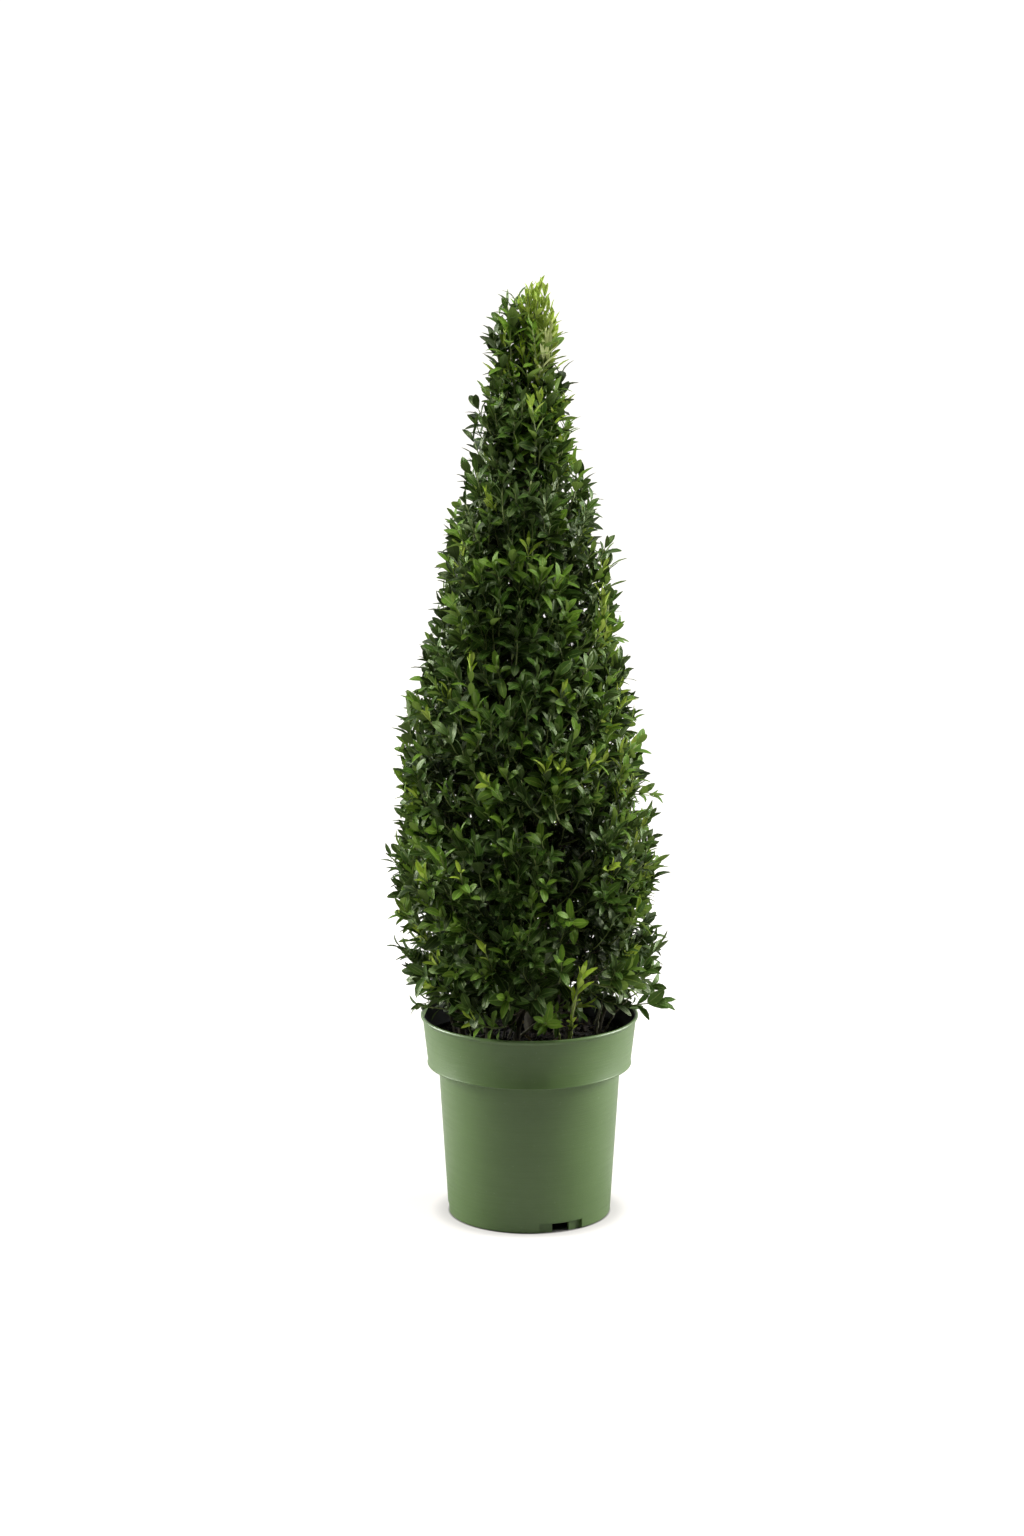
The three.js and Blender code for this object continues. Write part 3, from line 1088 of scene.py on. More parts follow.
@dataclass(frozen=True)
class LeafForm:
    """Outline and set of a leaf blade, as shares of its length.

    Attributes:
        half_width: from the midrib to the margin at the widest place.
        widest: where that place is.
        fold: how far the margins rise from the midrib.
        arch: how far the tip bends down.
        twist: turn of the tip in radians.
        blunt: how round the tip is, where less is rounder.
    """

    half_width: float
    widest: float
    fold: float
    arch: float
    twist: float
    blunt: float = 0.72

    def build(self, segments: int = 6) -> Shape:
        """Bends a grid of two strips into the blade, with X across, Y along and Z up."""
        sketch = bmesh.new()
        bmesh.ops.create_grid(sketch, x_segments=2, y_segments=segments, size=0.5)
        power = math.log(0.5) / math.log(self.widest)
        for vert in sketch.verts:
            side = round(vert.co.x * 2)
            along = 0.5 - 0.5 * math.cos(math.pi * (vert.co.y + 0.5))
            width = self.half_width * max(math.sin(math.pi * along**power), 0.0) ** self.blunt
            rise = self.fold * abs(side) * width - self.arch * along**2 + 0.05 * math.sin(math.pi * along)
            turn = self.twist * along
            across = side * width
            vert.co = (across * math.cos(turn), along, rise + across * math.sin(turn))
        places = {vert: (0.5 + 0.5 * round_side(vert), vert.co.y) for vert in sketch.verts}
        bmesh.ops.remove_doubles(sketch, verts=sketch.verts[:], dist=1e-4)
        kept = np.array([places[vert] for vert in sketch.verts])
        return Shape.read(sketch, kept)


def round_side(vert: bmesh.types.BMVert) -> int:
    """Side of the midrib that a vertex is on: -1, 0 or 1."""
    if abs(vert.co.x) < 1e-5:
        return 0
    return 1 if vert.co.x > 0 else -1


BROAD_FORMS = [
    LeafForm(0.180, 0.54, 0.32, 0.24, 0.0, 0.78),
    LeafForm(0.215, 0.58, 0.14, 0.34, 0.34, 0.68),
    LeafForm(0.150, 0.52, 0.50, 0.04, -0.40, 0.84),
    LeafForm(0.190, 0.56, 0.34, 0.42, 0.18, 0.72),
    LeafForm(0.170, 0.55, 0.26, -0.14, 0.26, 0.78),
    LeafForm(0.255, 0.56, 0.16, 0.16, -0.12, 0.64),
]
NARROW_FORMS = [
    LeafForm(0.140, 0.52, 0.60, -0.08, 0.0, 0.85),
    LeafForm(0.160, 0.56, 0.45, 0.08, 0.3, 0.8),
    LeafForm(0.125, 0.50, 0.70, 0.02, -0.25, 0.9),
]

YOUNGER = {
    LeafAge.DARK: LeafAge.MATURE,
    LeafAge.MATURE: LeafAge.FRESH,
    LeafAge.FRESH: LeafAge.YOUNG,
    LeafAge.YOUNG: LeafAge.YOUNG,
    LeafAge.PALE: LeafAge.PALE,
    LeafAge.DRY: LeafAge.DRY,
}

# The third colour of each finish, for midrib and margin, is partly their own paler colour and partly a
# painted highlight.
LEAF_FINISHES = {
    finish.age: finish
    for finish in (
        LeafFinish(LeafAge.DARK, (0.012, 0.032, 0.0045), (0.0055, 0.017, 0.003), (0.080, 0.120, 0.026),
                   (0.060, 0.095, 0.026), 0.32, 0.08),
        LeafFinish(LeafAge.MATURE, (0.030, 0.078, 0.007), (0.015, 0.045, 0.004), (0.150, 0.220, 0.048),
                   (0.105, 0.160, 0.045), 0.32, 0.14),
        LeafFinish(LeafAge.FRESH, (0.090, 0.186, 0.012), (0.050, 0.124, 0.008), (0.240, 0.340, 0.055),
                   (0.170, 0.260, 0.060), 0.40, 0.24),
        LeafFinish(LeafAge.YOUNG, (0.260, 0.380, 0.024), (0.165, 0.275, 0.016), (0.440, 0.530, 0.100),
                   (0.330, 0.430, 0.080), 0.46, 0.30),
        LeafFinish(LeafAge.PALE, (0.560, 0.610, 0.220), (0.400, 0.490, 0.110), (0.700, 0.720, 0.400),
                   (0.600, 0.640, 0.300), 0.46, 0.30),
        LeafFinish(LeafAge.DRY, (0.230, 0.165, 0.085), (0.130, 0.085, 0.040), (0.330, 0.260, 0.150),
                   (0.270, 0.210, 0.120), 0.60, 0.10),
    )
}


@dataclass
class Foliage:
    """All leaves and green shoots, sorted by tier and age.

    Attributes:
        leaves: gathered leaves of each tier and age.
        stalks: gathered shoots of each tier.
        stalk_radius: radius of a shoot at its foot.
        petiole: how far a leaf stands from the middle of its shoot.
        opening: angle in degrees between shoot and leaf at the shoot's foot.
        closing: degrees by which it closes towards the tip.
        youth: share of that angle that young leaves have.
        turning: largest share by which a leaf turns to the light.
        missing: share of the leaves that have dropped.
        fresh_from: share of the way up from which a fresh tip's leaves are younger.
        tone_rise: how much lighter the leaves are at a shoot's tip than at its foot, partly younger leaves
            and partly painted light glowing through the tips.
    """

    leaves: dict[tuple[Zone, LeafAge], Scatter] = field(default_factory=dict)
    stalks: dict[Zone, Twigs] = field(default_factory=dict)
    stalk_radius: float = 0.90 * MM
    petiole: float = 0.7 * MM
    opening: float = 68.0
    closing: float = 46.0
    youth: float = 0.62
    turning: float = 0.45
    missing: float = 0.05
    fresh_from: float = 0.78
    tone_rise: float = 0.34

    def shapes(self, age: LeafAge) -> list[Shape]:
        """Leaf shapes of an age."""
        return [form.build() for form in (NARROW_FORMS if age.is_young else BROAD_FORMS)]

    def dress(self, shoot: Shoot, rng: Rng) -> None:
        """Sets the leaf pairs of a shoot, each pair turned a quarter from the last, and its stalk."""
        share = np.linspace(0.16, 1.0, shoot.pairs) + rng.normal(0, 0.012, shoot.pairs)
        share = np.clip(share, 0.05, 1.0)
        middle = shoot.line(share)
        forward = shoot.tangent(share)
        reference = np.array([0.31, -0.17, 0.93]) if abs(shoot.start[2]) < 0.8 else np.array([0.9, 0.3, 0.1])
        first = unit(np.cross(forward, reference))
        second = np.cross(forward, first)
        roll = rng.uniform(0, math.pi) + np.arange(shoot.pairs) * math.pi / 2
        roll = (roll + rng.normal(0, 0.16, shoot.pairs))[:, None]
        out = first * np.cos(roll) + second * np.sin(roll)

        side = np.concatenate([out, -out])
        ahead = np.concatenate([forward, forward])
        along = np.concatenate([share, share])
        count = len(along)
        open_angle = np.radians(self.opening - self.closing * along**1.3) + rng.normal(0, 0.20, count)
        if shoot.age.is_young:
            open_angle *= self.youth
        cosine, sine = np.cos(open_angle)[:, None], np.sin(open_angle)[:, None]
        grow = ahead * cosine + side * sine
        face = ahead * sine - side * cosine
        turn = np.minimum(rng.uniform(0.0, self.turning, count)[:, None] + shoot.facing, 1.0)
        face = face * (1 - turn) + (shoot.light + rng.normal(0, 0.35, (count, 3))) * turn
        face = unit(face - grow * np.sum(face * grow, axis=1, keepdims=True))
        width = np.cross(grow, face)
        swell = 0.66 + 0.42 * np.sin(math.pi * np.clip(along * 0.78 + 0.08, 0, 1))
        size = shoot.leaf * swell * rng.normal(1.0, 0.11, count)
        broad = size * rng.normal(1.0, 0.09, count)
        frames = np.stack([width * broad[:, None], grow * size[:, None], face * size[:, None]], axis=1)
        origins = np.concatenate([middle, middle]) + side * self.petiole
        tones = shoot.tone + rng.normal(0, 0.10) + rng.normal(0, 0.11, count)
        # Lighter towards the tip: partly younger leaves, partly painted light glowing through the tips.
        tones = np.clip(tones + self.tone_rise * (along - 0.72), 0, 1)
        ages = np.zeros(count, int)
        if shoot.fresh_tip:
            ages[along > self.fresh_from] = 1
        keep = rng.random(count) > self.missing
        for step, age in enumerate((shoot.age, YOUNGER[shoot.age])):
            chosen = keep & (ages == step)
            if chosen.any():
                scatter = self._scatter(shoot.zone, age)
                picks = rng.integers(0, len(scatter.shapes), count)
                scatter.add(origins[chosen], frames[chosen], picks[chosen], tones[chosen])
        steps = np.linspace(0, 1, 6)
        radii = self.stalk_radius * np.linspace(1.0, 0.5, 6)
        self.stalks.setdefault(shoot.zone, Twigs(4)).add(shoot.line(steps), radii, float(rng.random()))

    def _scatter(self, zone: Zone, age: LeafAge) -> Scatter:
        """Gatherer of a tier and age."""
        key = (zone, age)
        if key not in self.leaves:
            self.leaves[key] = Scatter(self.shapes(age))
        return self.leaves[key]

    def build(self) -> None:
        """Makes the leaf and stalk pieces."""
        ages = {age for _, age in self.leaves}
        materials = {age: finish.build() for age, finish in LEAF_FINISHES.items() if age in ages}
        green = SHOOT_SKIN.build()
        for (zone, age), scatter in self.leaves.items():
            piece = scatter.build(f"leaves_{zone.label}_{age.value}", materials[age])
            finish_piece(piece, Slot.YOUNG if age.is_young else Slot.FOLIAGE, zone.nodes())
        for zone, twigs in self.stalks.items():
            piece = twigs.build(f"shoot_stalks_{zone.label}", green)
            finish_piece(piece, Slot.YOUNG, zone.nodes())


@dataclass(frozen=True)
class Layer:
    """Shoots whose tips lie at about one depth under the crown's outline.

    Attributes:
        depth: mean depth of the tips.
        scatter: spread of that depth.
        spacing: distance between neighbours.
        length: mean length of a shoot.
        pairs: mean number of leaf pairs.
        order: 0 for the outermost.
        tone: how light its leaves are, from 0 to 1, lower in the deeper layers as painted shade.
        ages: how common dark, mature, fresh, young and pale leaves are.
    """

    depth: float
    scatter: float
    spacing: float
    length: float
    pairs: int
    order: int
    tone: float
    ages: tuple[float, ...]


# The deeper layers have lower tones, painted shade where the crown shades them, and mostly dark leaves,
# partly older leaves and partly painted shade.
LAYERS = (
    Layer(0.009, 0.0031, 0.0171, 0.044, 6, 0, 0.56, (0.34, 0.46, 0.19, 0.01, 0.0)),
    Layer(0.028, 0.008, 0.0210, 0.047, 6, 1, 0.20, (0.86, 0.13, 0.01, 0.0, 0.0)),
    Layer(0.050, 0.009, 0.030, 0.050, 5, 2, 0.05, (0.97, 0.03, 0.0, 0.0, 0.0)),
)

# Ages of leaves where the sun reaches most, and at the top on its shaded and on its lit side.
SUNNY_AGES = (0.0, 0.30, 0.60, 0.10, 0.0)
SHADED_TOP_AGES = (0.12, 0.48, 0.30, 0.10, 0.0)
LIT_TOP_AGES = (0.0, 0.08, 0.26, 0.60, 0.06)

# Heights in metres, and the angle in degrees at which shoots leave the cone there.
RISES = ((0.196, 2), (0.215, 14), (0.26, 30), (0.36, 42), (0.6, 50), (0.75, 62), (0.80, 76), (0.87, 84))

# X, Y and Z of the tips of the topmost shoots, and their age.
LEADERS = (
    (0.008, -0.004, 0.853, LeafAge.YOUNG),
    (0.001, -0.007, 0.848, LeafAge.YOUNG),
    (0.013, 0.002, 0.845, LeafAge.YOUNG),
    (-0.009, -0.005, 0.843, LeafAge.YOUNG),
    (0.005, 0.008, 0.846, LeafAge.YOUNG),
    (-0.004, 0.007, 0.838, LeafAge.FRESH),
    (0.015, -0.008, 0.832, LeafAge.YOUNG),
    (-0.020, -0.003, 0.838, LeafAge.MATURE),
    (-0.028, 0.001, 0.829, LeafAge.MATURE),
    (-0.032, -0.004, 0.812, LeafAge.DARK),
    (0.018, -0.008, 0.819, LeafAge.PALE),
    (0.014, -0.016, 0.809, LeafAge.PALE),
    (0.020, 0.004, 0.814, LeafAge.YOUNG),
)

# Stray shoots over the rim: place of the tip, way they point, leaf pairs and length of the leaves.
FAN = (
    ((0.117, -0.006, 0.199), (1.0, -0.10, 0.02), 4, 0.0205),
    ((0.111, -0.002, 0.214), (1.0, 0.00, 0.45), 3, 0.0185),
    ((0.110, -0.014, 0.229), (0.9, -0.10, 0.70), 3, 0.0170),
)


@dataclass(frozen=True)
class OpenPatch:
    """A place in the crown where few shoots grow, so that it is dark or sky shows through.

    Attributes:
        bearing: its middle in degrees.
        half_width: degrees to each side.
        low: its foot.
        high: its top.
        share: share of the shoots that are missing.
        deepest: last layer that it thins.
    """

    bearing: float
    half_width: float
    low: float
    high: float
    share: float
    deepest: int

    def holds(self, bearing: float, height: float, order: int) -> bool:
        """Whether a shoot's tip lies in the patch."""
        turn = (math.degrees(bearing) - self.bearing + 180) % 360 - 180
        return abs(turn) < self.half_width and self.low < height < self.high and order <= self.deepest


@dataclass
class Crown:
    """The clipped cone: shoots laid out under its outline, and the boughs that reach them.

    Attributes:
        leader: the main stem's line.
        side_lines: lines of the side stems.
        outline: reach of the crown.
        bough_count: boughs that leave the main stem.
        bough_step: distance between the nodes of a bough or of the main stem.
        bough_steps: most nodes of a bough, and of its forks.
        hollow_scale: size of the hollows between sprays, as cells per metre.
        hollow_share: share of the shoots that are missing in a hollow.
        hollow_top: height above which there are no hollows.
        thin_top: share of the shoots that are missing near the top.
        gaps: share of the shoots that are missing anywhere.
        leaf_length: length of a full-grown leaf.
        open_patches: the thin places.
    """

    leader: StemLine
    side_lines: list[StemLine]
    outline: Outline
    bough_count: int = 46
    bough_step: float = 0.009
    bough_steps: tuple[int, int] = (24, 11)
    hollow_scale: float = 31.0
    hollow_share: float = 0.80
    hollow_top: float = 0.72
    thin_top: float = 0.22
    gaps: float = 0.02
    leaf_length: float = 0.0166
    open_patches: tuple[OpenPatch, ...] = (
        OpenPatch(24, 5.5, 0.245, 0.435, 0.90, 1),
        OpenPatch(38, 15, 0.190, 0.240, 0.90, 2),
        OpenPatch(31, 8, 0.190, 0.260, 0.92, 1),
        OpenPatch(13, 9, 0.190, 0.262, 0.90, 2),
        OpenPatch(-11, 15, 0.190, 0.231, 0.90, 2),
        OpenPatch(66, 46, 0.190, 0.238, 0.80, 2),
        OpenPatch(118, 44, 0.190, 0.300, 0.58, 2),
        OpenPatch(45, 40, 0.190, 0.330, 0.34, 2),
        OpenPatch(272, 36, 0.190, 0.224, 0.88, 2),
        OpenPatch(238, 34, 0.190, 0.290, 0.50, 2),
    )

    def __post_init__(self) -> None:
        """Starts with no shoots."""
        self.shoots: list[Shoot] = []
        self.skeleton = Skeleton()
        self.foliage = Foliage()
        self.wood: dict[Zone, Twigs] = {}
        self.zone_tops = {
            zone: max(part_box(name)[1].z for name in zone.nodes() if "spray" not in name) for zone in Zone
        }

    def zone_at(self, height: float) -> Zone:
        """Tier of a height."""
        for zone in (Zone.LOWER, Zone.MIDDLE, Zone.UPPER):
            if height < self.zone_tops[zone]:
                return zone
        return Zone.TIP

    def rise(self, height: float) -> float:
        """Angle at which shoots leave the crown at a height, in radians."""
        return math.radians(float(np.interp(height, *zip(*RISES))))

    def deal_age(self, bearing: float, height: float, layer: Layer, rng: Rng) -> LeafAge:
        """Age of a spray's leaves, dealt by its place.

        Args:
            bearing: radians round the stem.
            height: metres above the ground.
            layer: the layer that it belongs to.
            rng: random numbers.

        Returns:
            The age.
        """
        ages = (LeafAge.DARK, LeafAge.MATURE, LeafAge.FRESH, LeafAge.YOUNG, LeafAge.PALE)
        weights = np.array(layer.ages)
        rightness = max(math.sin(bearing), 0.0) ** 3
        fresher = 0.34 * rightness + 0.25 * smoothstep(0.62, 0.78, height)
        if layer.order == 0:
            weights = weights * (1 - fresher) + np.array(SUNNY_AGES) * fresher
        topmost = smoothstep(0.775, 0.81, height)
        sunny = smoothstep(-0.45, 0.35, math.sin(bearing + math.radians(15)))
        summit = np.array(SHADED_TOP_AGES) * (1 - sunny) + np.array(LIT_TOP_AGES) * sunny
        weights = weights * (1 - topmost) + summit * topmost
        return ages[int(rng.choice(len(ages), p=weights / weights.sum()))]

    def is_open(self, bearing: float, height: float, order: int, rng: Rng) -> bool:
        """Whether a place stays empty, for a cleft or for sky to show through."""
        for patch in self.open_patches:
            if patch.holds(bearing, height, order) and rng.random() < patch.share:
                return True
        hollow = 0.0
        if order < 2 and height < self.hollow_top:
            spot = Vector(heading(bearing) * self.outline.girth(height)) + Vector((0, 0, height))
            hollow = self.hollow_share * smoothstep(0.08, 0.32, noise.noise(spot * self.hollow_scale))
        return rng.random() < self.gaps + hollow + self.thin_top * smoothstep(0.77, 0.83, height)

    def lay_out(self) -> None:
        """Places the tips of all shoots, row by row and layer by layer."""
        for layer in LAYERS:
            rng = seeded(1, layer.order)
            height = self.outline.low + 0.004
            while height < self.outline.high - 0.004:
                girth = max(self.outline.girth(height) - layer.depth, 0.004)
                crowding = 1.0 - 0.28 * smoothstep(0.74, 0.82, height)
                spacing = layer.spacing * crowding
                count = max(3 if layer.order < 2 else 1, round(2 * math.pi * girth / spacing))
                if girth > 0.008 or layer.order == 0:
                    start = rng.uniform(0, 2 * math.pi)
                    for index in range(count):
                        bearing = start + 2 * math.pi * (index + rng.uniform(-0.3, 0.3)) / count
                        self._place(bearing, height + rng.normal(0, spacing * 0.28), layer, rng)
                height += spacing * 0.84

    def _place(self, bearing: float, height: float, layer: Layer, rng: Rng) -> None:
        """Adds one shoot with its tip at a bearing and height."""
        height = min(max(height, self.outline.low + 0.003), self.outline.high - 0.006)
        reach = self.outline.radius(bearing, height)
        if reach < 0.006 or self.is_open(bearing, height, layer.order, rng):
            return
        summit = smoothstep(0.77, 0.84, height)
        depth = layer.depth * (1 - 0.55 * summit) + rng.normal(0, layer.scatter * (1 - 0.5 * summit))
        depth -= 0.004 * (1 - smoothstep(0.24, 0.29, height))
        tip = self.leader.at(height) + heading(bearing) * max(reach - depth, 0.002)
        rise = self.rise(height) + rng.normal(0, 0.22)
        way = bearing + rng.normal(0, 0.36)
        start = unit(aim(way, rise - 0.28) + rng.normal(0, 0.06, 3))
        end = unit(aim(way, rise + 0.34) + rng.normal(0, 0.10, 3))
        length = layer.length * rng.uniform(0.78, 1.25) * (1 - 0.15 * summit)
        length = min(length, max(reach * 0.95, 0.022) / max(math.cos(rise), 0.2))
        age = self.deal_age(bearing % (2 * math.pi), height, layer, rng)
        leaf = self.leaf_length * rng.uniform(0.84, 1.2) * (0.86 if age.is_young else 1.0)
        leaf *= 1.0 + 0.16 * (1 - smoothstep(0.20, 0.27, height))
        pairs = max(3, round(layer.pairs * length / layer.length + rng.uniform(-0.6, 0.6)))
        light = aim(bearing, math.radians(38))
        fresh_tip = layer.order == 0 and rng.random() < 0.32
        zone = self.zone_at(height)
        shoot = Shoot(tip, start, end, length, pairs, age, leaf, zone, light, fresh_tip, layer.tone)
        self.shoots.append(shoot)

    def add_spray(self, node: str, count: int, age: LeafAge, leaf: float, rise: float) -> None:
        """Fills the box of a stray spray with a fan of shoots.

        Args:
            node: CAD node of the spray.
            count: number of shoots.
            age: age of the leaves.
            leaf: length of the leaves.
            rise: angle of the shoots in degrees.
        """
        low, high = (np.array(corner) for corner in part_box(node))
        rng = seeded(2, len(self.shoots))
        zone = next(zone for zone in Zone if node in zone.nodes())
        middle = (low + high) / 2
        facing, _ = self.outline.polar(middle)
        for index in range(count):
            spread = (index + 0.5) / count - 0.5
            way = facing + spread * 1.4
            end = unit(aim(way, math.radians(rise + rng.uniform(-20, 20))))
            start = unit(aim(facing + spread * 0.5, math.radians(rise + 12)))
            outermost = low + (high - low) * rng.uniform((0.25, 0.25, 0.62), (0.75, 0.75, 0.95))
            outermost[0] = (high[0] if middle[0] > 0 else low[0]) - math.copysign(leaf * 0.62, middle[0])
            outermost[0] -= math.copysign(rng.uniform(0, 0.4), middle[0]) * (high[0] - low[0])
            length = 0.042 * rng.uniform(0.8, 1.1)
            light = unit(aim(facing, math.radians(60)))
            self.shoots.append(
                Shoot(outermost, start, end, length, 4, age, leaf * rng.uniform(0.85, 1.1), zone, light)
            )

    def add_leaders(self) -> None:
        """Adds the upright young shoots at the very top, and the pale ones beside them."""
        for x, y, z, age in LEADERS:
            tip = np.array([x, y, z])
            middle = self.leader.at(z)
            lean = unit(np.array([x - middle[0], y - middle[1], 0.0])) * 0.22
            end = unit(np.array([0.0, 0.0, 1.0]) + lean * 0.6)
            start = unit(np.array([0.0, 0.0, 1.0]) + lean * 1.6)
            light = unit(np.array([x, y - 0.01, 0.012]))
            leaf = 0.0155 if age.is_young else 0.0165
            self.shoots.append(Shoot(tip, start, end, 0.048, 7, age, leaf, Zone.TIP, light))

    def add_fan(self) -> None:
        """Adds the stray shoots over the rim at the right, with their leaves turned to the front."""
        light = unit(np.array([0.15, -0.9, 0.4]))
        for place, way, pairs, leaf in FAN:
            end = unit(np.array(way))
            start = unit(end + np.array([0.0, 0.0, 0.35]))
            shoot = Shoot(np.array(place), start, end, 0.034, pairs, LeafAge.MATURE, leaf, Zone.LOWER, light)
            shoot.tone, shoot.facing = 0.75, 0.7
            self.shoots.append(shoot)

    def grow_boughs(self) -> None:
        """Grows the main boughs from the stems, and forks them."""
        rng = seeded(3)
        heights = np.arange(self.leader.foot + 0.02, self.leader.top, self.bough_step)
        stem = self.skeleton.grow(-1, self.leader.at(heights))
        for index in range(self.bough_count):
            share = (index + 0.5) / self.bough_count
            height = 0.205 + share**1.05 * (0.80 - 0.205)
            node = stem[int(np.argmin(np.abs(heights - height)))]
            bearing = index * GOLDEN_ANGLE + rng.normal(0, 0.2)
            steepness = 0.45 + 0.35 * share + rng.normal(0, 0.1)
            self._bough(node, bearing, steepness, 0.60, 0, rng)
        for line in self.side_lines:
            base = self.skeleton.grow(-1, line.middles[-4:])
            bearing, _ = self.outline.polar(line.middles[-1])
            self._bough(base[-1], bearing, 0.95, 0.66, 0, rng)
            self._bough(base[-2], bearing + rng.uniform(-0.9, 0.9), 0.8, 0.6, 1, rng)

    def _bough(self, node: int, bearing: float, rise: float, reach: float, order: int, rng: Rng) -> None:
        """Grows a limb until it nears the outline, then forks it.

        Args:
            node: node that it leaves.
            bearing: its bearing in radians.
            rise: its first angle of climb in radians.
            reach: share of the crown's radius that it grows to.
            order: 0 for a bough, 1 for its forks.
            rng: random numbers.
        """
        point = self.skeleton.points[node]
        points = []
        for _ in range(self.bough_steps[order]):
            point = point + aim(bearing, rise) * self.bough_step
            _, distance = self.outline.polar(point)
            if point[2] > self.outline.high - 0.03:
                break
            if distance > reach * self.outline.radius(bearing, point[2]):
                break
            points.append(point)
            rise = min(rise + rng.uniform(-0.02, 0.07), 1.35)
            bearing += rng.normal(0, 0.07)
        if len(points) < 2:
            return
        limb = self.skeleton.grow(node, np.array(points))
        if order == 0:
            for share in (0.25, 0.5, 0.75):
                if len(limb) >= 4:
                    turn = rng.choice((-1, 1)) * rng.uniform(0.5, 1.0)
                    fork = limb[int(len(limb) * share)]
                    self._bough(fork, bearing + turn, rise * 0.8, reach + 0.12, 1, rng)

    def join_shoots(self) -> None:
        """Reaches each shoot from the skeleton with a curved twig, the inner shoots first."""
        rng = seeded(4)
        depth = []
        for shoot in self.shoots:
            bearing, distance = self.outline.polar(shoot.base)
            depth.append(distance - self.outline.radius(bearing, shoot.base[2]))
        order = np.argsort(np.round(depth, 3), kind="stable")
        tips = []
        for index in order:
            shoot = self.shoots[int(index)]
            parent = self.skeleton.best_parent(shoot.base, shoot.start)
            origin = self.skeleton.points[parent]
            gap = float(np.linalg.norm(shoot.base - origin))
            bend = shoot.base - shoot.start * gap * 0.45 + rng.normal(0, gap * 0.06, 3)
            share = np.linspace(0, 1, max(3, min(6, round(gap / 0.012) + 2)))[1:, None]
            curve = origin * (1 - share) ** 2 + bend * 2 * share * (1 - share) + shoot.base * share**2
            tips.append(self.skeleton.grow(parent, curve)[-1])
        self.skeleton.weigh(tips)

    def build(self) -> None:
        """Makes every piece of the crown."""
        self.lay_out()
        self.add_fan()
        self.add_spray("foliage_spray_low_left", 2, LeafAge.MATURE, 0.0150, -6)
        self.add_spray("foliage_spray_side_right", 2, LeafAge.FRESH, 0.0150, 6)
        self.add_leaders()
        self.grow_boughs()
        self.join_shoots()
        for index, shoot in enumerate(self.shoots):
            self.foliage.dress(shoot, seeded(5, index))
        self.foliage.build()
        self._build_wood()
        log.info("%d shoots on %d limbs", len(self.shoots), len(self.skeleton.limbs))

    def _build_wood(self) -> None:
        """Makes the boughs and twigs, one piece for each tier."""
        rng = seeded(6)
        for limb in self.skeleton.limbs:
            if self.skeleton.parents[limb[0]] < 0:
                continue
            points, radii = self.skeleton.limb_line(limb)
            zone = self.zone_at(float(points[-1][2]))
            self.wood.setdefault(zone, Twigs(5)).add(points, radii, float(rng.random()))
        bark = TWIG_BARK.build()
        for zone, twigs in self.wood.items():
            piece = twigs.build(f"twigs_{zone.label}", bark)
            finish_piece(piece, Slot.BARK, zone.nodes())


# ---- Stems ----


